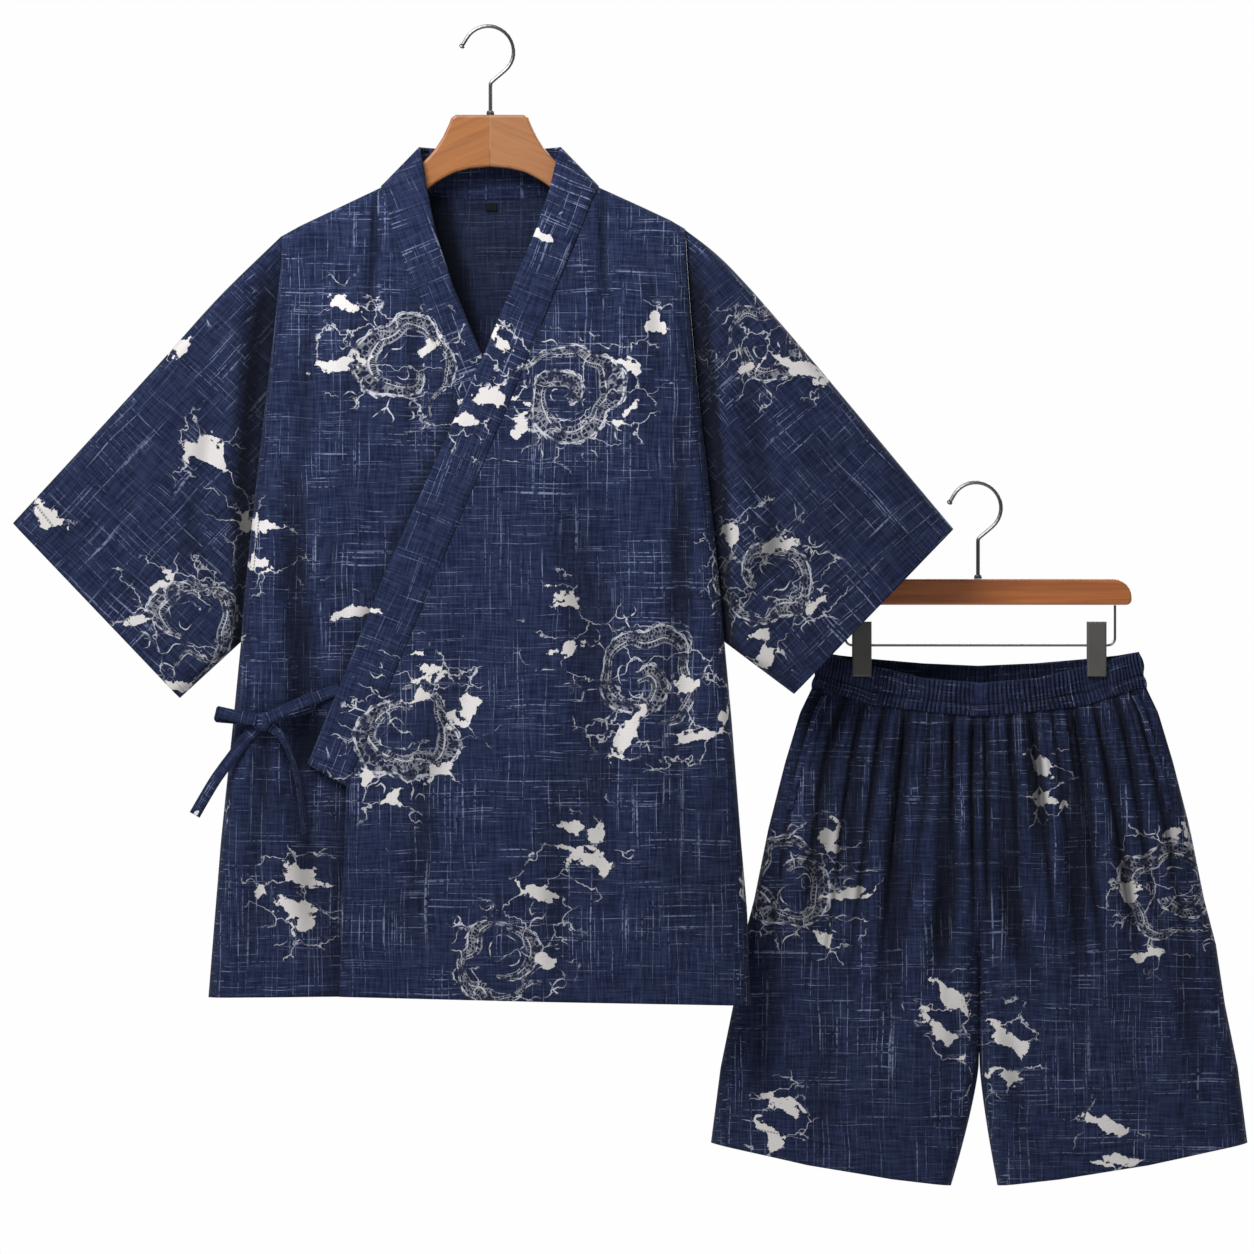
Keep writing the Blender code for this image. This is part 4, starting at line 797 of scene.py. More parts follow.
def slub_cotton(name, printed, dark, light, slub, faint=1.0, inside=False):
    """Plain-woven slub cotton: yarns of uneven thickness, dyed navy, show as pale broken lines both ways."""
    made, tree, shader = new_material(name, 0.9, Sheen_Weight=0.03, Sheen_Roughness=0.5, Specular_IOR_Level=0.1)
    threads = add(tree, "ShaderNodeAttribute", attribute_name="threads").outputs["Vector"]
    # Yarns run out of line by about a millimetre over some 60 mm.
    drift = add(tree, "ShaderNodeTexNoise", {"Vector": threads, "Scale": 1 / 60, "Detail": 1.0}).outputs["Color"]
    drift = add(tree, "ShaderNodeVectorMath", {0: drift, 1: (0.5, 0.5, 0.5)}, operation="SUBTRACT").outputs[0]
    drift = add(tree, "ShaderNodeVectorMath", {0: drift, "Scale": 7.0}, operation="SCALE").outputs[0]
    wavy = add(tree, "ShaderNodeVectorMath", {0: threads, 1: drift}, operation="ADD").outputs[0]
    lines = []
    ragged = add(tree, "ShaderNodeTexNoise", {"Vector": threads, "Scale": 1 / 4, "Detail": 2.0}).outputs["Fac"]
    ragged = add(tree, "ShaderNodeMapRange", {"Value": ragged, "From Min": 0.36, "From Max": 0.52}).outputs[0]
    for stretch, offset in (((1 / 1.3, 1 / 120, 1 / 9), 0.0), ((1 / 110, 1 / 1.3, 1 / 9), 31.0)):
        # One slub is about 0.6 mm across and some 90 mm long, and ragged.
        run = add(tree, "ShaderNodeVectorMath", {0: wavy, 1: stretch, 2: (offset,) * 3}, operation="MULTIPLY_ADD")
        slubs = add(tree, "ShaderNodeTexNoise", {"Vector": run.outputs[0], "Scale": 1.0, "Detail": 0.0})
        sharp = add(tree, "ShaderNodeMapRange", {"Value": slubs.outputs["Fac"], "From Min": 0.685, "From Max": 0.75})
        lines.append(sharp.outputs[0])
    both = add(tree, "ShaderNodeMath", {0: lines[0], 1: lines[1]}, operation="MAXIMUM").outputs[0]
    both = add(tree, "ShaderNodeMath", {0: both, 1: ragged}, operation="MULTIPLY").outputs[0]
    # Finer yarns lie between the slubs; their real pitch of 0.5 mm is drawn at 2 mm to show at all.
    yarns = []
    for stretch, offset in (((1 / 2.0, 1 / 26, 1 / 9), 7.0), ((1 / 26, 1 / 2.0, 1 / 9), 53.0)):
        run = add(tree, "ShaderNodeVectorMath", {0: wavy, 1: stretch, 2: (offset,) * 3}, operation="MULTIPLY_ADD")
        fine = add(tree, "ShaderNodeTexNoise", {"Vector": run.outputs[0], "Scale": 1.0, "Detail": 2.0})
        yarns.append(fine.outputs["Fac"])
    yarn = add(tree, "ShaderNodeMath", {0: yarns[0], 1: yarns[1]}, operation="ADD").outputs[0]
    patchy = add(tree, "ShaderNodeTexNoise", {"Vector": threads, "Scale": 1 / 38, "Detail": 2.0}).outputs["Fac"]
    density = add(tree, "ShaderNodeMapRange", {"Value": patchy, "From Min": 0.36, "From Max": 0.62, "To Min": 0.12})
    shown = add(tree, "ShaderNodeMath", {0: both, 1: density.outputs[0]}, operation="MULTIPLY").outputs[0]
    shown = add(tree, "ShaderNodeMath", {0: shown, 1: 0.74 * faint}, operation="MULTIPLY").outputs[0]
    ground_share = add(tree, "ShaderNodeMapRange", {"Value": yarn, "From Min": 0.8, "From Max": 1.24}).outputs[0]
    ground = add(
        tree, "ShaderNodeMix", {"Factor": ground_share, 6: linear(dark), 7: linear(light)}, data_type="RGBA"
    ).outputs[2]
    colour = add(tree, "ShaderNodeMix", {"Factor": shown, 6: ground, 7: linear(slub)}, data_type="RGBA").outputs[2]
    stitch = add(tree, "ShaderNodeAttribute", attribute_name="stitches").outputs["Vector"]
    parts = add(tree, "ShaderNodeSeparateXYZ", {0: stitch}).outputs
    # Lockstitch: 3 mm stitches with short gaps, in thread a little darker than the cloth.
    off_line = add(tree, "ShaderNodeMath", {0: parts[0]}, operation="ABSOLUTE").outputs[0]
    on_line = add(tree, "ShaderNodeMapRange", {"Value": off_line, "From Min": 1.0, "From Max": 0.45}).outputs[0]
    true_line = add(tree, "ShaderNodeMath", {0: parts[2], 1: 5.0}, operation="LESS_THAN").outputs[0]
    pitch = add(tree, "ShaderNodeMath", {0: parts[1], 1: 1 / 3.2}, operation="MULTIPLY").outputs[0]
    pitch = add(tree, "ShaderNodeMath", {0: pitch}, operation="FRACT").outputs[0]
    dash = add(tree, "ShaderNodeMath", {0: pitch, 1: 0.68}, operation="LESS_THAN").outputs[0]
    seam = add(tree, "ShaderNodeMath", {0: on_line, 1: true_line}, operation="MULTIPLY").outputs[0]
    thread = add(tree, "ShaderNodeMath", {0: seam, 1: dash}, operation="MULTIPLY").outputs[0]
    thread_share = add(tree, "ShaderNodeMath", {0: thread, 1: 0.6}, operation="MULTIPLY").outputs[0]
    if printed:
        colour = lay_print(tree, colour, threads)
    colour = add(
        tree, "ShaderNodeMix", {"Factor": thread_share, 6: colour, 7: linear("#10152a")}, data_type="RGBA"
    ).outputs[2]
    # Painted shade: the colour darkens towards near-black by how deep in shade the cloth is taken to lie, in fold
    # troughs, beside laps, at the armholes, in the waistband's ribs and low down; the wrong side also darkens behind
    # the neck opening.
    painted_shade = add(tree, "ShaderNodeAttribute", attribute_name="painted_shade").outputs["Fac"]
    if inside:
        inner = add(tree, "ShaderNodeAttribute", attribute_name="inner_shade").outputs["Fac"]
        painted_shade = add(tree, "ShaderNodeMath", {0: painted_shade, 1: inner}, operation="MAXIMUM").outputs[0]
    painted_shade = add(tree, "ShaderNodeMath", {0: painted_shade, 1: 0.8}, operation="MULTIPLY").outputs[0]
    colour = add(
        tree, "ShaderNodeMix", {"Factor": painted_shade, 6: colour, 7: linear("#06080f")}, data_type="RGBA"
    ).outputs[2]
    tree.links.new(colour, shader.inputs["Base Color"])
    height = add(tree, "ShaderNodeMath", {0: yarn, 1: 0.5, 2: both}, operation="MULTIPLY_ADD").outputs[0]
    height = add(tree, "ShaderNodeMath", {0: seam, 1: -1.2, 2: height}, operation="MULTIPLY_ADD").outputs[0]
    bump = add(tree, "ShaderNodeBump", {"Strength": 0.35, "Distance": 0.0006, "Height": height})
    tree.links.new(bump.outputs[0], shader.inputs["Normal"])
    return made


def lay_print(tree, colour, threads):
    """White discharge print: torn patches, cracked lines, and round motifs in line."""
    blot = add(tree, "ShaderNodeAttribute", attribute_name="blot").outputs["Fac"]
    torn = add(tree, "ShaderNodeTexNoise", {"Vector": threads, "Scale": 1 / 13, "Detail": 5.0, "Roughness": 0.62})
    torn = add(tree, "ShaderNodeMath", {0: torn.outputs["Fac"], 1: 0.5}, operation="SUBTRACT").outputs[0]
    torn = add(tree, "ShaderNodeMath", {0: torn, 1: 2.2, 2: blot}, operation="MULTIPLY_ADD").outputs[0]

    # Cracks: borders of uneven cells about 42 mm across, bent and broken.
    bend = add(tree, "ShaderNodeTexNoise", {"Vector": threads, "Scale": 1 / 12, "Detail": 4.0}).outputs["Color"]
    bend = add(tree, "ShaderNodeVectorMath", {0: bend, "Scale": 20.0}, operation="SCALE").outputs[0]
    bent = add(tree, "ShaderNodeVectorMath", {0: threads, 1: bend}, operation="ADD").outputs[0]
    bent = add(tree, "ShaderNodeVectorMath", {0: bent, 1: (0.75, 1.2, 1.0)}, operation="MULTIPLY").outputs[0]
    cells = add(
        tree, "ShaderNodeTexVoronoi", {"Vector": bent, "Scale": 1 / 42}, feature="DISTANCE_TO_EDGE"
    ).outputs["Distance"]
    crack = add(tree, "ShaderNodeMapRange", {"Value": cells, "From Min": 0.015, "From Max": 0.006}).outputs[0]
    # A patch runs out into points along the cracks.
    spur = add(tree, "ShaderNodeMapRange", {"Value": cells, "From Min": 0.11, "From Max": 0.0}).outputs[0]
    torn = add(tree, "ShaderNodeMath", {0: spur, 1: 0.62, 2: torn}, operation="MULTIPLY_ADD").outputs[0]
    patch = add(tree, "ShaderNodeMapRange", {"Value": torn, "From Min": 0.61, "From Max": 0.67}).outputs[0]
    near = add(tree, "ShaderNodeMath", {0: blot, 1: 0.1}, operation="GREATER_THAN").outputs[0]
    patch = add(tree, "ShaderNodeMath", {0: patch, 1: near}, operation="MULTIPLY").outputs[0]
    reach = add(tree, "ShaderNodeAttribute", attribute_name="cracks").outputs["Fac"]
    broken = add(tree, "ShaderNodeTexNoise", {"Vector": threads, "Scale": 1 / 22, "Detail": 4.0}).outputs["Fac"]
    broken = add(tree, "ShaderNodeMath", {0: reach, 1: 0.42, 2: broken}, operation="MULTIPLY_ADD").outputs[0]
    broken = add(tree, "ShaderNodeMapRange", {"Value": broken, "From Min": 0.82, "From Max": 0.93}).outputs[0]
    crack = add(tree, "ShaderNodeMath", {0: crack, 1: broken}, operation="MULTIPLY").outputs[0]

    body = add(tree, "ShaderNodeAttribute", attribute_name="motif_body").outputs["Vector"]
    along, across, on_body = add(tree, "ShaderNodeSeparateXYZ", {0: body}).outputs
    wide = add(tree, "ShaderNodeMath", {0: across}, operation="ABSOLUTE").outputs[0]
    whole = add(tree, "ShaderNodeMath", {0: on_body, 1: 0.98}, operation="GREATER_THAN").outputs[0]
    inside = add(tree, "ShaderNodeMath", {0: wide, 1: 0.9}, operation="LESS_THAN").outputs[0]
    from_rim = add(tree, "ShaderNodeMath", {0: wide, 1: 0.92}, operation="SUBTRACT").outputs[0]
    from_rim = add(tree, "ShaderNodeMath", {0: from_rim}, operation="ABSOLUTE").outputs[0]
    rim = add(tree, "ShaderNodeMapRange", {"Value": from_rim, "From Min": 0.13, "From Max": 0.07}).outputs[0]
    back_side = add(tree, "ShaderNodeMapRange", {"Value": across, "From Min": -0.2, "From Max": 0.2, "To Min": 0.5})
    rim = add(tree, "ShaderNodeMath", {0: rim, 1: back_side.outputs[0]}, operation="MULTIPLY").outputs[0]
    belly_line = add(tree, "ShaderNodeMath", {0: across, 1: 0.38}, operation="ADD").outputs[0]
    belly_line = add(tree, "ShaderNodeMath", {0: belly_line}, operation="ABSOLUTE").outputs[0]
    belly_line = add(tree, "ShaderNodeMapRange", {"Value": belly_line, "From Min": 0.1, "From Max": 0.04}).outputs[0]
    # Scales 4 mm long in rows across the body; bars 3 mm apart on the belly.
    scale_place = add(tree, "ShaderNodeCombineXYZ", {0: along, 1: across}).outputs[0]
    scale_place = add(
        tree, "ShaderNodeVectorMath", {0: scale_place, 1: (1 / 3.6, 1.9, 1.0)}, operation="MULTIPLY"
    ).outputs[0]
    scale_edge = add(
        tree,
        "ShaderNodeTexVoronoi",
        {"Vector": scale_place, "Scale": 1.0, "Randomness": 0.55},
        feature="DISTANCE_TO_EDGE",
    ).outputs["Distance"]
    scales = add(tree, "ShaderNodeMapRange", {"Value": scale_edge, "From Min": 0.15, "From Max": 0.09}).outputs[0]
    bars = add(tree, "ShaderNodeMath", {0: along, 1: 1 / 3.0}, operation="MULTIPLY").outputs[0]
    bars = add(tree, "ShaderNodeMath", {0: bars}, operation="FRACT").outputs[0]
    bars = add(tree, "ShaderNodeMath", {0: bars, 1: 0.34}, operation="LESS_THAN").outputs[0]
    on_belly = add(tree, "ShaderNodeMath", {0: across, 1: -0.38}, operation="LESS_THAN").outputs[0]
    skin = add(tree, "ShaderNodeMix", {"Factor": on_belly, 2: scales, 3: bars}).outputs[0]
    skin = add(tree, "ShaderNodeMath", {0: skin, 1: inside}, operation="MULTIPLY").outputs[0]
    skin = add(tree, "ShaderNodeMath", {0: skin, 1: 0.4}, operation="MULTIPLY").outputs[0]
    # Spines: teeth 5 mm apart along the back.
    tooth = add(tree, "ShaderNodeMath", {0: along, 1: 5.0}, operation="PINGPONG").outputs[0]
    tooth = add(tree, "ShaderNodeMath", {0: tooth, 1: 0.05, 2: 0.98}, operation="MULTIPLY_ADD").outputs[0]
    over_back = add(tree, "ShaderNodeMath", {0: tooth, 1: across}, operation="SUBTRACT").outputs[0]
    over_back = add(tree, "ShaderNodeMath", {0: over_back}, operation="ABSOLUTE").outputs[0]
    spines = add(tree, "ShaderNodeMapRange", {"Value": over_back, "From Min": 0.11, "From Max": 0.05}).outputs[0]
    drawn = add(tree, "ShaderNodeMath", {0: rim, 1: belly_line}, operation="MAXIMUM").outputs[0]
    drawn = add(tree, "ShaderNodeMath", {0: drawn, 1: skin}, operation="MAXIMUM").outputs[0]
    drawn = add(tree, "ShaderNodeMath", {0: drawn, 1: spines}, operation="MAXIMUM").outputs[0]
    drawn = add(tree, "ShaderNodeMath", {0: drawn, 1: whole}, operation="MULTIPLY").outputs[0]

    stroke = add(tree, "ShaderNodeAttribute", attribute_name="motif_stroke").outputs["Vector"]
    off, weight, apart = add(tree, "ShaderNodeSeparateXYZ", {0: stroke}).outputs
    off = add(tree, "ShaderNodeMath", {0: off}, operation="ABSOLUTE").outputs[0]
    half = add(tree, "ShaderNodeMath", {0: weight, 1: 0.9}, operation="MULTIPLY").outputs[0]
    pen = add(tree, "ShaderNodeMath", {0: half, 1: off}, operation="SUBTRACT").outputs[0]
    pen = add(tree, "ShaderNodeMapRange", {"Value": pen, "From Min": 0.0, "From Max": 0.45}).outputs[0]
    true_pen = add(tree, "ShaderNodeMath", {0: apart, 1: 4.6}, operation="LESS_THAN").outputs[0]
    pen = add(tree, "ShaderNodeMath", {0: pen, 1: true_pen}, operation="MULTIPLY").outputs[0]
    drawn = add(tree, "ShaderNodeMath", {0: drawn, 1: pen}, operation="MAXIMUM").outputs[0]

    # The drawn lines are worn: they fade and break over a few millimetres.
    worn = add(tree, "ShaderNodeTexNoise", {"Vector": threads, "Scale": 1 / 7, "Detail": 3.0}).outputs["Fac"]
    worn = add(tree, "ShaderNodeMapRange", {"Value": worn, "From Min": 0.42, "From Max": 0.54, "To Min": 0.05})
    drawn = add(tree, "ShaderNodeMath", {0: drawn, 1: worn.outputs[0]}, operation="MULTIPLY").outputs[0]
    drawn = add(tree, "ShaderNodeMath", {0: drawn, 1: 0.88}, operation="MULTIPLY").outputs[0]
    crack = add(tree, "ShaderNodeMath", {0: crack, 1: 0.78}, operation="MULTIPLY").outputs[0]
    lines = add(tree, "ShaderNodeMath", {0: drawn, 1: crack}, operation="MAXIMUM").outputs[0]
    dusk = add(tree, "ShaderNodeMath", {0: inside, 1: whole}, operation="MULTIPLY").outputs[0]
    dusk = add(tree, "ShaderNodeMath", {0: dusk, 1: 0.45}, operation="MULTIPLY").outputs[0]
    colour = add(
        tree, "ShaderNodeMix", {"Factor": dusk, 6: colour, 7: linear("#0f1428")}, data_type="RGBA"
    ).outputs[2]
    colour = add(
        tree, "ShaderNodeMix", {"Factor": lines, 6: colour, 7: linear("#c3c4cc")}, data_type="RGBA"
    ).outputs[2]
    return add(
        tree, "ShaderNodeMix", {"Factor": patch, 6: colour, 7: linear("#cfcccb")}, data_type="RGBA"
    ).outputs[2]


def wood(name, light, dark, grain, roughness=0.5):
    """Varnished wood: grain lines 3 mm apart along the piece, fine pores, and a satin coat."""
    made, tree, shader = new_material(name, roughness, Coat_Weight=0.1, Coat_Roughness=0.4)
    place = add(tree, "ShaderNodeTexCoord").outputs["Object"]
    turned = add(tree, "ShaderNodeMapping", {"Vector": place, "Rotation": (0.0, grain, 0.0)}).outputs[0]
    long = add(tree, "ShaderNodeVectorMath", {0: turned, 1: (9.0, 120.0, 210.0)}, operation="MULTIPLY").outputs[0]
    figure = add(tree, "ShaderNodeTexNoise", {"Vector": long, "Scale": 1.0, "Detail": 4.0, "Distortion": 0.6})
    share = add(tree, "ShaderNodeMapRange", {"Value": figure.outputs["Fac"], "From Min": 0.3, "From Max": 0.7})
    colour = add(
        tree, "ShaderNodeMix", {"Factor": share.outputs[0], 6: linear(light), 7: linear(dark)}, data_type="RGBA"
    ).outputs[2]
    pores = add(tree, "ShaderNodeVectorMath", {0: turned, 1: (90.0, 900.0, 1400.0)}, operation="MULTIPLY").outputs[0]
    pores = add(tree, "ShaderNodeTexNoise", {"Vector": pores, "Scale": 1.0, "Detail": 2.0}).outputs["Fac"]
    pore = add(tree, "ShaderNodeMapRange", {"Value": pores, "From Min": 0.60, "From Max": 0.72, "To Max": 0.35})
    colour = add(
        tree, "ShaderNodeMix", {"Factor": pore.outputs[0], 6: colour, 7: linear(dark)}, data_type="RGBA"
    ).outputs[2]
    tree.links.new(colour, shader.inputs["Base Color"])
    bump = add(tree, "ShaderNodeBump", {"Strength": 0.12, "Distance": 0.0003, "Height": pores})
    tree.links.new(bump.outputs[0], shader.inputs["Normal"])
    return made


def chromed_wire():
    """Chromed steel wire, drawn: bright, with dull spots."""
    made, tree, shader = new_material("chromed_steel_wire", 0.34, Metallic=1.0)
    place = add(tree, "ShaderNodeTexCoord").outputs["Object"]
    dull = add(tree, "ShaderNodeTexNoise", {"Vector": place, "Scale": 260.0, "Detail": 3.0}).outputs["Fac"]
    colour = add(
        tree, "ShaderNodeMix", {"Factor": dull, 6: linear("#5c5c60"), 7: linear("#6a6a6e")}, data_type="RGBA"
    ).outputs[2]
    tree.links.new(colour, shader.inputs["Base Color"])
    rough = add(tree, "ShaderNodeMapRange", {"Value": dull, "To Min": 0.30, "To Max": 0.38}).outputs[0]
    tree.links.new(rough, shader.inputs["Roughness"])
    return made


def moulded_clip():
    """Moulded ABS: dark brown-grey, satin, with a very fine texture from the mould."""
    made, tree, shader = new_material("moulded_abs_clip", 0.42, Specular_IOR_Level=0.5)
    place = add(tree, "ShaderNodeTexCoord").outputs["Object"]
    grit = add(tree, "ShaderNodeTexNoise", {"Vector": place, "Scale": 900.0, "Detail": 2.0}).outputs["Fac"]
    tone = add(tree, "ShaderNodeTexNoise", {"Vector": place, "Scale": 30.0, "Detail": 2.0}).outputs["Fac"]
    colour = add(
        tree, "ShaderNodeMix", {"Factor": tone, 6: linear("#3d3c39"), 7: linear("#52514e")}, data_type="RGBA"
    ).outputs[2]
    tree.links.new(colour, shader.inputs["Base Color"])
    bump = add(tree, "ShaderNodeBump", {"Strength": 0.15, "Distance": 0.0002, "Height": grit})
    tree.links.new(bump.outputs[0], shader.inputs["Normal"])
    return made


def label_tape():
    """Black woven tape: ribs 0.8 mm apart."""
    made, tree, shader = new_material("black_woven_tape", 0.9, Specular_IOR_Level=0.08)
    place = add(tree, "ShaderNodeTexCoord").outputs["Object"]
    ribs = add(tree, "ShaderNodeTexWave", {"Vector": place, "Scale": 200.0, "Distortion": 0.4}).outputs["Fac"]
    colour = add(
        tree, "ShaderNodeMix", {"Factor": ribs, 6: linear("#0b0c10"), 7: linear("#1c1d22")}, data_type="RGBA"
    ).outputs[2]
    tree.links.new(colour, shader.inputs["Base Color"])
    bump = add(tree, "ShaderNodeBump", {"Strength": 0.3, "Distance": 0.0002, "Height": ribs})
    tree.links.new(bump.outputs[0], shader.inputs["Normal"])
    return made


# Jacket.

HEM_STITCH = 24.0
CUFF_STITCH = 22.0


def panel(name, left_edge, right_edge, top_edge, depth, side, rounds, counts, stitch, painted_shade, cloths):
    """A front (side -1) or the back (side 1), from its edges and its depth."""

    def inner_shade(x, z):
        """The wrong side is darkest behind the left of the neck opening."""
        if side < 0 or z < -400.0:
            return 0.0
        return 1.0 - ease((x + 47.0 + 0.21 * (z + 170.0)) / 15.0)

    def place(u, v):
        z = -500.0
        for _ in range(4):
            left, right = left_edge(z), right_edge(z)
            across, cloth_across = round_the_ends(u, right - left, rounds[0], rounds[1])
            x = left + across
            top, foot = top_edge(x), reading(HEM, x)
            down, cloth_down = round_the_ends(v, top - foot, SHOULDER_ROUND, 0.0)
            z = top - down
        point = Vector((x, side * depth(x, z), z))
        return point, (x + cloth_across - across, z, point.y), stitch(x, z), painted_shade(x, z), inner_shade(x, z)

    return cut_piece(name, counts[0], counts[1], place, cloths, turned=side > 0, side=side)


def build_jacket_body(cloths):
    def left_side(z):
        return reading(SIDES, z, 1)

    def right_side(z):
        return reading(SIDES, z, 2)

    def over_edge(z):
        return reading(BAND_SEAM, z, 1) - BAND_TUCK * ease((z - BAND_END[0]) / 10.0)

    def under_edge(z):
        return reading(BAND_SEAM, z, 2) + BAND_TUCK

    def back_neck(x):
        if abs(x) > NECK_POINT[0]:
            return top_line(x)
        return back_neck_seam(x) + BAND_TUCK

    def over_stitch(x, z):
        lines = [(z - reading(HEM, x) - HEM_STITCH, x)]
        if z > UNDERARM:
            lines.append((right_side(z) - x - 7.0, z))
        if z < BAND_END[0]:
            lines.append((x - over_edge(z) - 9.0, z))
        if -960.0 < z < -739.0:
            lines.append((right_side(z) - x - 14.0, z))
        if x > 150.0:
            lines.append((z + 735.0, x))
        else:
            lines.append((0.9 * (x - over_edge(z)) - 2.5, z * 1.1))
        return nearest_stitch(*lines)

    def under_stitch(x, z):
        lines = [(z - reading(HEM, x) - HEM_STITCH, x)]
        if z > UNDERARM:
            lines.append((x - left_side(z) - 7.0, z))
        return nearest_stitch(*lines)

    def back_stitch(x, z):
        lines = [(z - reading(HEM, x) - HEM_STITCH, x)]
        if z > UNDERARM:
            lines.append((min(x - left_side(z), right_side(z) - x) - 7.0, z))
        return nearest_stitch(*lines)

    def over_painted_shade(x, z):
        return fold_painted_shade(x, z, FRONT_DETAIL)

    def under_painted_shade(x, z):
        # Painted shadow: the under front darkens beside the over front's edge, and over a wider band below the band's
        # end.
        to_lap = 0.9 * (reading(BAND_EDGE, z, 1) - x) if z > -740.0 else reading(BAND_SEAM, z, 1) - x
        reach = 20.0 if z > -740.0 else 32.0
        lap_shadow = 0.62 * (1.0 - ease(to_lap / reach)) if z < -331.0 else 0.0
        return fold_painted_shade(x, z, FRONT_DETAIL) + lap_shadow

    def back_painted_shade(x, z):
        return fold_painted_shade(x, z, BACK_DETAIL)

    rounds = SIDE_ROUND
    back = panel(
        "jacket_back", left_side, right_side, back_neck, back_depth, 1, (rounds, rounds), (128, 190), back_stitch, back_painted_shade, cloths
    )
    over = panel(
        "jacket_over_front", over_edge, right_side, top_line, jacket_depth, -1, (0.0, rounds), (84, 200), over_stitch, over_painted_shade, cloths
    )
    under = panel(
        "jacket_under_front", left_side, under_edge, top_line, under_depth, -1, (rounds, 0.0), (84, 200), under_stitch, under_painted_shade, cloths
    )
    return back, over, under


def back_neck_seam(x):
    """Height of the back neck seam."""
    share = min(abs(x) / NECK_POINT[0], 1.0)
    return NECK_POINT[1] - BACK_NECK_DROP * (1.0 - share**2)


def build_neck_band(cloths):
    """One strip: up the over front, round the back neck and down the under front."""
    rises = (BAND_END[0] - NECK_POINT[1], BAND_END[1] - NECK_PEAK[1])
    shares = (0.445, 0.555)
    lengths = (660.0, 190.0, 660.0)

    def edges(v):
        if shares[0] < v < shares[1]:
            across = math.cos(math.pi * (v - shares[0]) / (shares[1] - shares[0]))
            seam_x, edge_x = NECK_POINT[0] * across, NECK_PEAK[0] * across
            edge_z = NECK_PEAK[1] - BACK_COLLAR_DIP * (1.0 - across**2)
            return (seam_x, back_neck_seam(seam_x)), (edge_x, edge_z), 1, back_depth, Vector((-1.0, 0.0))
        on_over = v <= shares[0]
        share = (shares[0] - v) / shares[0] if on_over else (v - shares[1]) / (1.0 - shares[1])
        # Stations lie closer together where the band turns over the shoulder.
        share = share**1.25
        z_seam, z_edge = NECK_POINT[1] + share * rises[0], NECK_PEAK[1] + share * rises[1]
        column = 1 if on_over else 2
        seam = (reading(BAND_SEAM, z_seam, column), z_seam)
        edge = (reading(BAND_EDGE, z_edge, column), z_edge)
        foot = BAND_END[0] if on_over else BAND_END[1]
        run = Vector((reading(BAND_EDGE, foot, column), foot)) - Vector(NECK_PEAK)
        if not on_over:
            run = Vector((reading(BAND_EDGE, foot, column) + NECK_PEAK[0], foot - NECK_PEAK[1]))
        return seam, edge, -1, jacket_depth if on_over else under_depth, run.normalized()

    def place(u, v):
        seam, edge, side, depth, run = edges(v)
        width = math.dist(seam, edge)
        across, cloth_across = round_the_ends(u, width, 1.6, 1.6)
        share = across / width
        x, z = seam[0] + (edge[0] - seam[0]) * share, seam[1] + (edge[1] - seam[1]) * share
        sunk = 1.3 * (1.0 - quarter_round(across / 1.6) * quarter_round((width - across) / 1.6))
        puff = 0.5 * math.sin(math.pi * share)
        length = v * sum(lengths)
        ripple = 0.35 * noise.noise(Vector((length / 28.0, share * 2.0, 5.0)))
        point = Vector((x, side * (depth(x, z) - sunk + puff + ripple), z))
        stitch = nearest_stitch((across - 3.5, length), (width - across - 60.0, length))
        flat = Vector((x, z))
        return point, (run.cross(flat) + 0.02 * cloth_across, run.dot(flat), point.y), stitch

    return cut_piece("neck_band", 16, 460, place, cloths, thick=BAND_CLOTH - 0.4, lift=BAND_RAISE, side=-1)


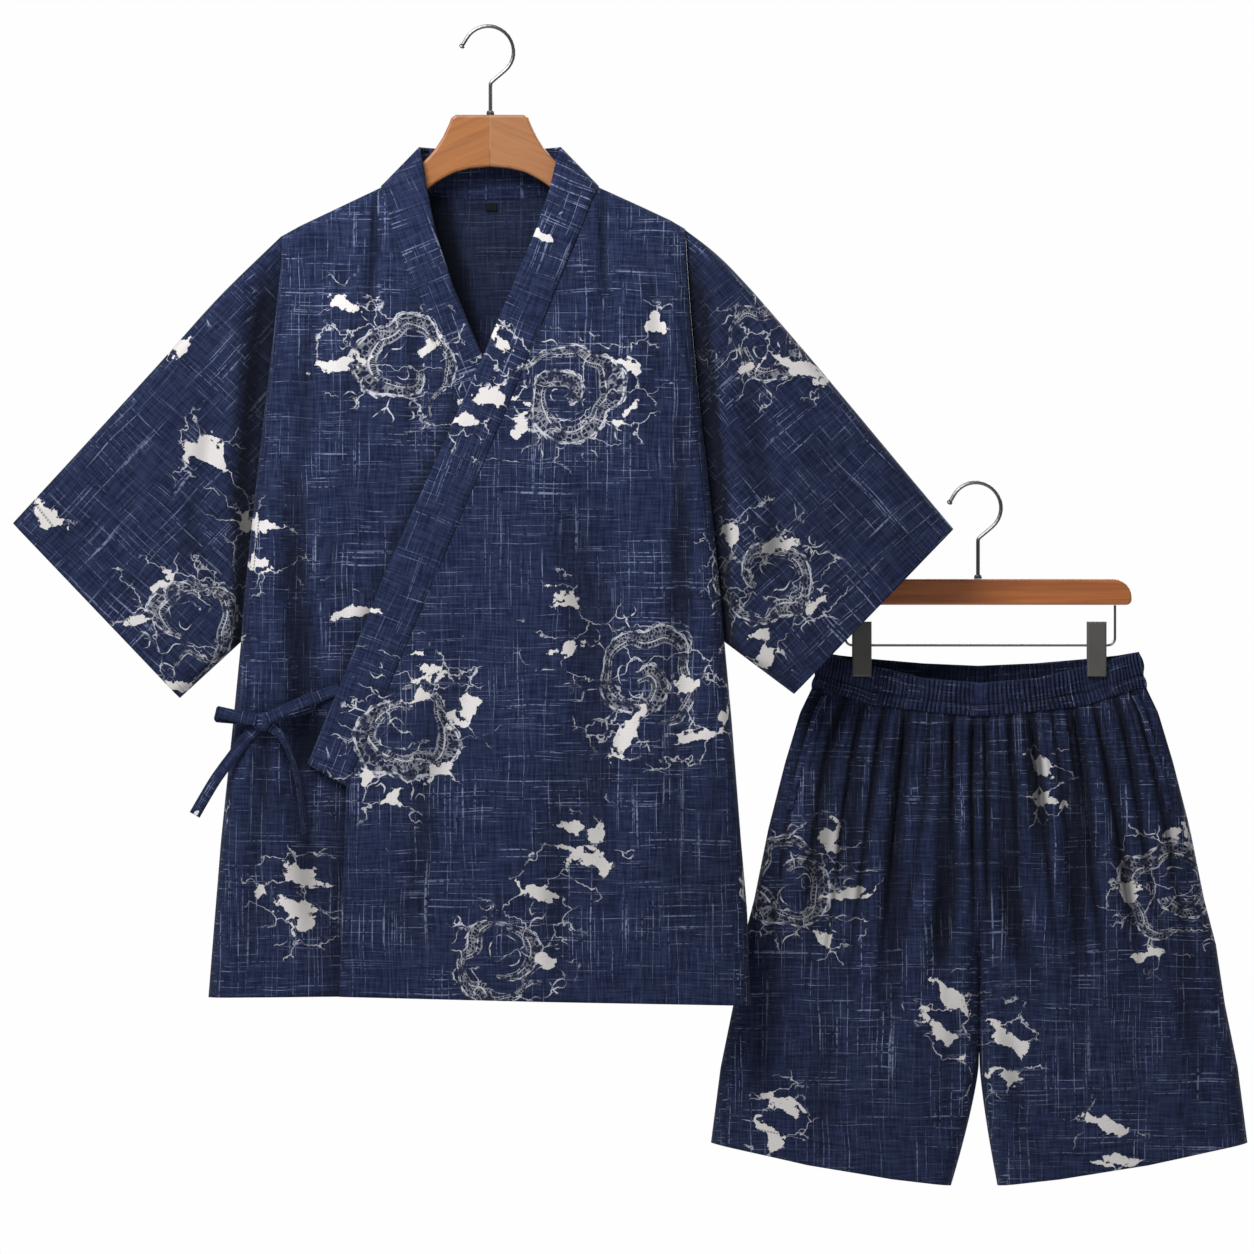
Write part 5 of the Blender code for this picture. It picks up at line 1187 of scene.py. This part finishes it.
def build_jacket_sleeve(name, side, upper, lower, cloths):
    """A tube from the armhole to the cuff, its flat shape filled in between its four edges."""
    column = 1 if side < 0 else 2
    cuff = (upper[-1], lower[-1])
    shoulder_z, underarm_z = upper[0][1], lower[0][1]
    creases = SLEEVE_CREASES[name]

    def armhole(share):
        z = shoulder_z + share * (underarm_z - shoulder_z)
        return Vector((reading(SIDES, z, column) + side * ARMHOLE_GAP, z))

    def between(first, last, share):
        return Vector(first) + (Vector(last) - Vector(first)) * share

    def flat_point(along, across):
        top = Vector(on_path(upper, along))
        foot = between(lower[0], lower[-1], along)
        corners = between(
            between(armhole(0.0), armhole(1.0), across), between(cuff[0], cuff[1], across), along
        )
        sides = between(top, foot, across)
        ends = between(armhole(across), between(cuff[0], cuff[1], across), along)
        return sides + ends - corners

    reach = (flat_point(1.0, 0.5) - flat_point(0.0, 0.5)).length

    def place(u, v):
        along = v**1.15
        front = -1 if u < 0.5 else 1
        length = (flat_point(along, 1.0) - flat_point(along, 0.0)).length
        down, cloth_down = round_the_ends(1.0 - abs(2.0 * u - 1.0), length, SLEEVE_ROUND, SLEEVE_ROUND)
        across_share = down / length
        flat = flat_point(along, across_share)
        swell = ease(along * reach / SLEEVE_SWELL)
        full = SLEEVE_START + (SLEEVE_DEPTH - SLEEVE_START) * swell
        full += (CUFF_DEPTH - SLEEVE_DEPTH) * ease((along - 0.4) / 0.6)
        near_edge = min(down, length - down)
        full += (1.7 * crease_height(creases, flat.x, flat.y) + 1.3 * slack(flat.x, flat.y, 20.0 + front)) * ease(
            near_edge / 30.0
        ) * ease(along * reach / 20.0)
        rounding = quarter_round(down / SLEEVE_ROUND) * quarter_round((length - down) / SLEEVE_ROUND)
        point = Vector((flat.x, front * max(full, 3.0) * rounding, flat.y))
        stitch = nearest_stitch((reach * (1.0 - along) - CUFF_STITCH, cloth_down), (99.0, 0.0))
        arm = Vector(upper[-1]) - Vector(upper[0])
        arm.normalize()
        # Painted shade: the sleeve darkens in its crease troughs, near the armhole, and all over, the right sleeve
        # more than the left.
        folds = crease_height(creases, flat.x, flat.y)
        armhole_shade = 1.1 * (1.0 - ease((along * reach - 10.0) / 44.0)) * ease(across_share * 5.0)
        shade = max(-folds - 0.8, 0.0) / 4.0 + armhole_shade + (0.16 if side < 0 else 0.26)
        return point, (arm.cross(flat), arm.dot(flat), point.y), stitch, shade

    return cut_piece("jacket_" + name, 190, 96, place, cloths, ring=True, turned=side > 0)


# Bow and label.


def strap(name, points, widths, cloths, slack_at=0.25):
    """A folded and stitched strap along points, its width along the vector given at each of them."""
    last = len(points) - 1
    half = 0.5 * STRAP_WIDTH

    def place(u, v):
        at = min(int(v * last), last - 1)
        t = v * last - at
        before, after = points[max(at - 1, 0)], points[min(at + 2, last)]
        near, far = points[at], points[at + 1]
        bend = 2.0 * before - 5.0 * near + 4.0 * far - after
        twist = 3.0 * near - before - 3.0 * far + after
        middle = 0.5 * (2.0 * near + (far - before) * t + bend * t * t + twist * t**3)
        across = widths[at].lerp(widths[at + 1], t).normalized()
        normal = across.cross((far - near).normalized()).normalized()
        side, cloth_across = round_the_ends(u, STRAP_WIDTH, 0.6, 0.6)
        length = v * last * (far - near).length
        crown = 0.5 * STRAP_THICK * quarter_round(min(side, STRAP_WIDTH - side) / 0.6)
        crown += slack_at * noise.noise(Vector((side / 5.0, length / 9.0, points[0].x)))
        point = middle + across * (side - half) + normal * crown
        stitch = nearest_stitch((side - 1.6, length), (STRAP_WIDTH - side - 1.6, length))
        return point, (cloth_across, length, point.y), stitch

    return cut_piece(name, 10, 10 * last, place, cloths, thick=STRAP_THICK, turned=True, side=-1)


def lying_points(path, steps, hump, turn=0.0):
    """A strap's middle line and widths, lying on the under front, or turned on to its edge."""
    points, widths = [], []
    before = 0.0
    for k in range(steps + 1):
        x, z = on_path(path, k / steps)
        ahead = on_path(path, min((k + 1) / steps, 1.0))
        behind = on_path(path, max((k - 1) / steps, 0.0))
        direction = Vector((ahead[0] - behind[0], 0.0, ahead[1] - behind[1])).normalized()
        across = Vector((direction.z, 0.0, -direction.x))
        rest = before - 1.6
        for share in (-0.6, -0.3, 0.0, 0.3, 0.6):
            for ahead_by in (-1.0, -0.5, 0.0, 0.5, 1.0):
                place = on_path(path, min(max((k + ahead_by) / steps, 0.0), 1.0))
                side = share * STRAP_WIDTH * across
                rest = max(rest, under_front_height(place[0] + side.x, place[1] + side.z))
        before = rest
        lift = hump * math.sin(math.pi * (0.08 + 0.92 * k / steps))
        angle = math.radians(turn) * ease(2.4 * k / steps)
        lift += 0.5 * STRAP_WIDTH * math.sin(angle)
        points.append(Vector((x, -(rest + STRAP_CLEAR + 0.5 * STRAP_THICK + lift), z)))
        widths.append(across * math.cos(angle) - Vector((0.0, math.sin(angle), 0.0)))
    return points, widths


def under_front_height(x, z):
    if x < reading(SIDES, z, 1):
        return 0.0
    return under_depth(x, z)


def loop_points(start, end, drop, lift):
    """A strap that runs out from the knot, turns back on itself and returns behind."""
    first, last = Vector((start[0], 0.0, start[1])), Vector((end[0], 0.0, end[1]))
    along = (last - first).normalized()
    across = Vector((along.z, 0.0, -along.x))
    rest = under_front_height(start[0], start[1]) + STRAP_CLEAR + 0.5 * STRAP_THICK
    turn = 0.5 * LOOP_GAP
    length = (last - first).length - turn
    places = [(share * length, turn) for share in (0.0, 0.25, 0.5, 0.75)]
    for k in range(7):
        angle = math.pi * (0.5 - k / 6)
        places.append((length + turn * math.cos(angle), turn * math.sin(angle)))
    places += [(share * length, -turn) for share in (0.75, 0.5, 0.25, 0.08)]
    points, widths = [], []
    for distance, out in places:
        swell = 1.0 + 0.9 * math.sin(math.pi * min(distance / length, 1.0))
        fall = drop * (0.5 - 0.5 * out / turn) * distance / length
        point = first + along * distance
        point.y = -(rest + lift + turn * 1.9 + out * swell)
        point.z -= fall
        points.append(point)
        widths.append(across)
    return points, widths


def build_knot(cloths):
    """The knot: a squarish bundle with the strap's turns wrapped round it."""
    rest = under_front_height(*KNOT_CENTRE) + STRAP_CLEAR + KNOT_SIZE[1]
    centre = Vector((KNOT_CENTRE[0], -rest, KNOT_CENTRE[1]))

    def place(u, v):
        round_by, up = 2.0 * math.pi * u, math.pi * (v - 0.5)
        ring = math.cos(up) ** 0.5 if abs(v - 0.5) < 0.499 else 0.0
        height = math.copysign(abs(math.sin(up)) ** 0.85, -math.sin(up))
        wrap = 1.0 + 0.07 * math.cos(3.0 * math.pi * v + 1.2 * math.sin(round_by))
        x = math.copysign(abs(math.sin(round_by)) ** 0.6, math.sin(round_by)) * ring * wrap
        y = math.copysign(abs(math.cos(round_by)) ** 0.6, -math.cos(round_by)) * ring * wrap
        tilt = 0.35 * x * KNOT_SIZE[0]
        point = centre + Vector((x * KNOT_SIZE[0], y * KNOT_SIZE[1], height * KNOT_SIZE[2] * 0.95 + tilt * 0.3))
        return point, (u * 60.0, v * 30.0, point.y), NO_STITCH

    return cut_piece("bow_knot_wrapped", 40, 28, place, cloths, thick=1.2, ring=True, side=-1)


def build_label_piece(tape):
    x, z = LABEL_CENTRE

    def place(u, v):
        at = Vector((x + (u - 0.5) * LABEL_SIZE[0], 0.0, z - (v - 0.5) * LABEL_SIZE[1]))
        rim = 1.0 - quarter_round(min(u, 1.0 - u) * LABEL_SIZE[0] / 0.5)
        at.y = back_depth(x, z) - 1.5 - 0.9 + 0.25 * rim
        return at, (u * 12.0, v * 8.0, 0.0), NO_STITCH

    return cut_piece("neck_label_tape", 24, 16, place, [tape], thick=0.6, side=1)


# Shorts.


def shorts_half(z):
    return reading(SHORTS_HALF_WIDTH, z)


def shorts_depth(x, z):
    """How far the shorts' face stands from their middle plane, side to side, without the crotch."""
    middle = x - SHORTS_MIDDLE
    near_side = shorts_half(z) - abs(middle)
    reach = min(abs(middle) / (CLIP_FROM_MIDDLE - CLIP_HALF_FLAT), 1.0)
    pinched = CLIP_PINCH + WAIST_OPEN * math.cos(0.5 * math.pi * reach)
    hanging = WAIST_DEPTH + (LEG_DEPTH - WAIST_DEPTH) * ease((-680.0 - z) / WAIST_TO_LEG)
    relaxed = ease((CLIP_FOOT - z) / 70.0)
    full = pinched + (hanging - pinched) * relaxed
    return full * quarter_round(near_side / (WAIST_ROUND + (LEG_ROUND - WAIST_ROUND) * relaxed))


RIBS = 82


def build_elastic_waist(cloths):
    """Elastic waistband: close ribs, deeper and shallower by turns, in two puffed rows."""

    def height(column):
        def z_of(from_middle, share):
            top = reading(WAIST_EDGES, from_middle, column)
            return top + share * (reading(WAIST_EDGES, from_middle, 3) - top)

        return z_of

    heights = {-1: height(1), 1: height(2)}

    def base_point(u, v):
        side = -1 if u < 0.5 else 1
        share = 2.0 * u if side < 0 else 2.0 - 2.0 * u
        even = 2.0 * share - 1.0
        across = 0.8 * even - 0.2 * math.cos(math.pi * share)
        z = -640.0
        for _ in range(3):
            x = across * shorts_half(z)
            z = heights[side](abs(x), v)
        x = SHORTS_MIDDLE + across * shorts_half(z)
        return Vector((x, side * shorts_depth(x, z), z)), share, side

    def place(u, v):
        point, share, side = base_point(u, v)
        ahead, _, _ = base_point((u + 0.0008) % 1.0, v)
        behind, _, _ = base_point((u - 0.0008) % 1.0, v)
        run = (ahead - behind).normalized()
        normal = Vector((-run.y, run.x, 0.0))
        if normal.dot(Vector((point.x - SHORTS_MIDDLE, 20.0 * point.y, 0.0))) < 0:
            normal = -normal
        wander = 0.35 * noise.noise(Vector((share * 24.0, v * 1.6, side * 3.0)))
        phase = RIBS * share + wander
        strength = 0.9 + 0.4 * noise.noise(Vector((share * 31.0, 0.7 * v, 11.0 + side)))
        rib = abs(math.sin(math.pi * phase)) ** 0.6 - 0.5
        puff = 1.5 * math.sin(math.pi * v / 0.66) ** 0.6 if v < 0.66 else 0.9 * math.sin(math.pi * (v - 0.66) / 0.34)
        from_clip = abs(abs(point.x - SHORTS_MIDDLE) - CLIP_FROM_MIDDLE)
        free = 0.2 + 0.8 * ease((from_clip - CLIP_HALF_FLAT) / 12.0)
        from_seam = abs(point.x - SHORTS_MIDDLE)
        flat_middle = 1.0 - 0.75 * (1.0 - ease((from_seam - 4.0) / 4.0)) if side < 0 else 1.0
        at_rows = 1.0 - 0.6 * math.exp(-(((v - 0.66) / 0.05) ** 2))
        raised = free * (puff * at_rows + 3.5 * rib * strength * flat_middle * at_rows)
        point = point + raised * normal
        point.y += SHORTS_BACK
        length = share * 340.0
        stitch = nearest_stitch(((v - 0.66) * 36.0, length * 2.0), ((v - 0.05) * 99.0 + 40.0, length))
        # Painted shade: darker in the rib valleys, along the stitched row and towards the lower edge.
        shade = 1.1 * (1.0 - abs(math.sin(math.pi * phase))) ** 1.4 * strength * flat_middle
        shade += 0.5 * math.exp(-(((v - 0.66) / 0.035) ** 2)) + 0.4 * ease((v - 0.93) / 0.07)
        return point, (length * 1.7, v * 40.0, point.y), stitch, shade

    return cut_piece("shorts_waistband", 4 * RIBS * 4, 20, place, cloths, thick=1.6, ring=True)


def leg_inner(z, side):
    """The inner edge of a leg, as a distance from the middle line."""
    if z > LEGS_PART:
        # Above this the two legs are sewn together, and the seam draws them into each other.
        return SEAM_GAP - 0.8 * ease((z - LEGS_PART) / 30.0)
    share = (LEGS_PART - z) / (LEGS_PART - LEG_HEM[-1][1])
    return SEAM_GAP + LEG_GAP_AT_HEM[side] * share**1.3


def leg_depth(x, z, side):
    """The leg's face, closed at the crotch and down the inside of the leg."""
    from_inner = abs(x - SHORTS_MIDDLE) - leg_inner(z, side)
    down = (z - WAIST_EDGES[0][3]) / (CROTCH - WAIST_EDGES[0][3])
    joined = math.sqrt(max(1.0 - max(down, 0.0) ** 5, 0.0))
    return shorts_depth(x, z) * (joined + (1.0 - joined) * quarter_round(from_inner / LEG_ROUND))


def gathered(share, z, seed):
    """Uneven gathers under the waistband: rounded folds with sharp valleys, fading down the leg; and the painted shade
    in their valleys.
    """
    below = -686.0 - z
    wander = 0.9 * noise.noise(Vector((share * 5.0, below / 260.0, seed)))
    small = abs(math.sin(math.pi * (20.0 * share + wander)))
    large = abs(math.sin(math.pi * (8.0 * share + 0.7 * wander + 0.3)))
    fade_small = 1.0 - ease(below / 120.0)
    fade_large = 1.0 - ease((below - 40.0) / 300.0)
    strength = 0.8 + 0.7 * noise.noise(Vector((share * 9.0, 0.0, seed + 4.0)))
    held = ease((share - 0.07) / 0.06) * ease((1.0 - share) / 0.03)
    height = 4.0 * (small**0.6 - 0.6) * fade_small + 12.0 * (large**0.55 - 0.66) * fade_large
    painted_shade = 0.9 * (1.0 - small) ** 2 * fade_small + 1.7 * (1.0 - large) ** 1.5 * fade_large
    return height * strength * held, painted_shade * strength


def seam_height(share):
    """Height of the waistband seam, a share of the way from the side to the middle."""
    z = WAIST_EDGES[-1][3]
    for _ in range(4):
        z = reading(WAIST_EDGES, (1.0 - share) * shorts_half(z), 3)
    return z


def build_shorts_leg(name, side, face, cloths):
    """A front (face -1) or back (face 1) leg: side -1 is on the left."""

    def place(u, v):
        share = u if side < 0 else 1.0 - u
        across, _ = round_the_ends(share, 1.0, 0.085, 0.05)
        top = seam_height(across) + WAIST_TUCK
        foot = reading(LEG_HEM, across)
        z = top + (foot - top) * v**1.1
        outer_edge, inner_edge = shorts_half(z), leg_inner(z, side)
        x = SHORTS_MIDDLE + side * (outer_edge + (inner_edge - outer_edge) * across)
        depth = leg_depth(x, z, side)
        moved, shade = gathered(across, z, side * 2.0 + face)
        folds = 1.7 * crease_height(SHORTS_CREASES, x - SHORTS_MIDDLE, z)
        moved += folds
        # Painted shade in the crease troughs.
        shade += max(-folds - 0.8, 0.0) / 7.5
        moved += 1.4 * slack(x, z, 40.0 + side + 3.0 * face, tall=120.0, wide=40.0)
        # The waistband's stitching holds the gathers flat where the leg is sewn in.
        moved *= 0.15 + 0.85 * ease((top - WAIST_TUCK - z) / 20.0)
        near_edge = min(outer_edge - abs(x - SHORTS_MIDDLE), 4.0 * (abs(x - SHORTS_MIDDLE) - inner_edge))
        depth += moved * min(depth / WAIST_DEPTH, 1.0) * ease(near_edge / 26.0)
        depth -= 1.2 * ease((z - top + WAIST_TUCK + 3.0) / 3.0)
        point = Vector((x, SHORTS_BACK + face * max(depth, 0.5 * SEAM_GAP), z))
        run = (outer_edge - inner_edge) * across
        inside = outer_edge - abs(x - SHORTS_MIDDLE)
        lines = [(z - foot - HEM_STITCH, run)]
        if z > CROTCH:
            lines.append((abs(x - SHORTS_MIDDLE) - 3.0, z))
        if face > 0:
            lines.append((inside - 9.0, z))
        # Painted shade: the whole of the shorts is made a little darker.
        return point, (x, z, point.y), nearest_stitch(*lines), shade + 0.19

    return cut_piece(name, 150, 120, place, cloths, turned=face > 0, side=face)


def build_pocket_facing(name, side, cloths):
    """The stitched edge of a side pocket, lying on the front leg."""

    def place(u, v):
        z = POCKET_TOP + (POCKET_FOOT - POCKET_TOP) * v
        across, cloth_across = round_the_ends(u, POCKET_WIDTH, 0.5, 0.5)
        x = SHORTS_MIDDLE + side * (shorts_half(z) - POCKET_INSET - POCKET_WIDTH + across)
        rise = 0.7 + 0.9 * quarter_round(min(across, POCKET_WIDTH - across) / 0.5) * quarter_round((1.0 - v) / 0.02)
        point = Vector((x, SHORTS_BACK - leg_depth(x, z, side) - rise, z))
        return point, (cloth_across + 40.0, z, point.y), nearest_stitch((across - 1.4, z))

    return cut_piece(name, 10, 60, place, cloths, thick=1.0, turned=side < 0, side=-1)


def build_all():
    printed = slub_cotton("navy_slub_cotton_printed", True, "#131a33", "#28314f", "#808bab")
    plain = slub_cotton("navy_slub_cotton_plain", False, "#131a33", "#28314f", "#808bab")
    # Painted shade: the wrong side takes darker colours and fainter slubs than the right side, for the garment's
    # shaded inside.
    wrong = slub_cotton("navy_slub_cotton_wrong_side", False, "#141a2d", "#222942", "#525c79", 0.65, True)
    cloths = [printed, wrong]

    back, over, under = build_jacket_body(cloths)
    band = build_neck_band([printed, plain])
    sleeves = [build_jacket_sleeve(name, cloths=cloths, **shape) for name, shape in SLEEVES.items()]
    straps = []
    for name, (points, widths) in {
        "bow_strap_from_seam": lying_points(TIE_PATH, 7, 0.0),
        "bow_loop_left_strap": loop_points(**LEFT_LOOP),
        "bow_loop_right_strap": loop_points(**RIGHT_LOOP),
        "bow_tail_left_strap": lying_points(LEFT_TAIL, 8, 1.0),
        "bow_tail_right_strap": lying_points(RIGHT_TAIL, 10, 1.0, 62.0),
    }.items():
        straps.append(strap(name, points, widths, [printed if "tail_left" in name else plain]))
    knot = build_knot([plain])
    label = build_label_piece(label_tape())

    waist = build_elastic_waist([printed, plain])
    legs = []
    for name, side, face in (
        ("shorts_front_left", -1, -1),
        ("shorts_front_right", 1, -1),
        ("shorts_back_left", -1, 1),
        ("shorts_back_right", 1, 1),
    ):
        legs.append(build_shorts_leg(name, side, face, cloths))
    facings = [build_pocket_facing("pocket_facing_left", -1, cloths), build_pocket_facing("pocket_facing_right", 1, cloths)]

    replaced = {
        back: "back",
        over: "front_over",
        under: "front_under",
        band: "collar",
        sleeves[0]: "sleeve_left",
        sleeves[1]: "sleeve_right",
        straps[0]: "tie_strap",
        straps[1]: "bow_loop_left",
        straps[2]: "bow_loop_right",
        straps[3]: "bow_tail_left",
        straps[4]: "bow_tail_right",
        knot: "bow_knot",
        label: "neck_label",
        waist: "waistband",
        legs[0]: "leg_front_left",
        legs[1]: "leg_front_right",
        legs[2]: "leg_back_left",
        legs[3]: "leg_back_right",
        facings[0]: "pocket_edge_left",
        facings[1]: "pocket_edge_right",
    }
    for piece, node in replaced.items():
        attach(piece, "root")
        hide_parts(node)

    steel = chromed_wire()
    clip = moulded_clip()
    finishes = {
        # Painted light and shade: the left half's darker colours and the right half's lighter, pinker colours stand in
        # for the two halves being lit differently.
        "hanger_wood_left": wood("varnished_beech_left", "#9c612b", "#824d21", 0.38),
        "hanger_wood_right": wood("varnished_beech_right", "#9c683e", "#875630", -0.38),
        "hanger_bar": wood("varnished_brown_bar", "#a5602f", "#834720", 0.0, 0.42),
    }
    for node in ("jacket_hook", "jacket_ferrule", "shorts_hook", "shorts_ferrule", "clip_rail"):
        finishes[node] = steel
    for node in ("clip_left_front", "clip_left_back", "clip_right_front", "clip_right_back"):
        finishes[node] = clip
    for node, made in finishes.items():
        for slot in bpy.data.objects[node].material_slots:
            slot.material = made


def build_studio():
    """White surroundings, a pale floor below, a soft key from the upper left, and a long lens straight on."""
    scene = bpy.context.scene
    scene.view_settings.view_transform = "Standard"
    world = bpy.data.worlds.new("white_studio")
    world.use_nodes = True
    background = world.node_tree.nodes["Background"]
    background.inputs["Color"].default_value = linear("#fefefe")
    # The camera sees white paper all round; what that paper throws on the cloth is weaker than the lamp.
    rays = add(world.node_tree, "ShaderNodeLightPath").outputs["Is Camera Ray"]
    strength = add(world.node_tree, "ShaderNodeMapRange", {"Value": rays, "To Min": 0.31, "To Max": 1.0})
    world.node_tree.links.new(strength.outputs[0], background.inputs["Strength"])
    scene.world = world

    mesh = bmesh.new()
    bmesh.ops.create_grid(mesh, x_segments=1, y_segments=1, size=2200.0)
    bmesh.ops.translate(mesh, vec=(140.0, 0.0, -1450.0), verts=mesh.verts)
    paper, tree, shader = new_material("white_paper_floor", 0.9)
    tone = add(tree, "ShaderNodeTexNoise", {"Scale": 3.0}).outputs["Fac"]
    colour = add(tree, "ShaderNodeMix", {"Factor": tone, 6: linear("#ededeb"), 7: linear("#f3f3f1")}, data_type="RGBA")
    tree.links.new(colour.outputs[2], shader.inputs["Base Color"])
    finish("floor", mesh, [paper])

    for name, size, energy, place in (
        ("key", 1.1, 64.0, (-0.7, -1.35, 1.05)),
        ("fill_behind", 2.4, 110.0, (1.8, 2.6, 1.2)),
    ):
        lamp = bpy.data.lights.new(name, "AREA")
        lamp.size = size
        lamp.energy = energy
        stand = bpy.data.objects.new(name, lamp)
        stand.location = place
        aim = Vector((0.14, 0.0, -0.6)) - stand.location
        stand.rotation_euler = aim.to_track_quat("-Z", "Y").to_euler()
        scene.collection.objects.link(stand)

    lens = bpy.data.cameras.new("camera")
    distance = 10.0
    lens.sensor_width = 36.0
    lens.lens = lens.sensor_width * distance / 1.254
    lens.clip_end = 100.0
    camera = bpy.data.objects.new("camera", lens)
    camera.location = (0.137, -distance, -0.599)
    camera.rotation_euler = (math.radians(90.0), 0.0, 0.0)
    scene.collection.objects.link(camera)
    scene.camera = camera


build_studio()
build_all()
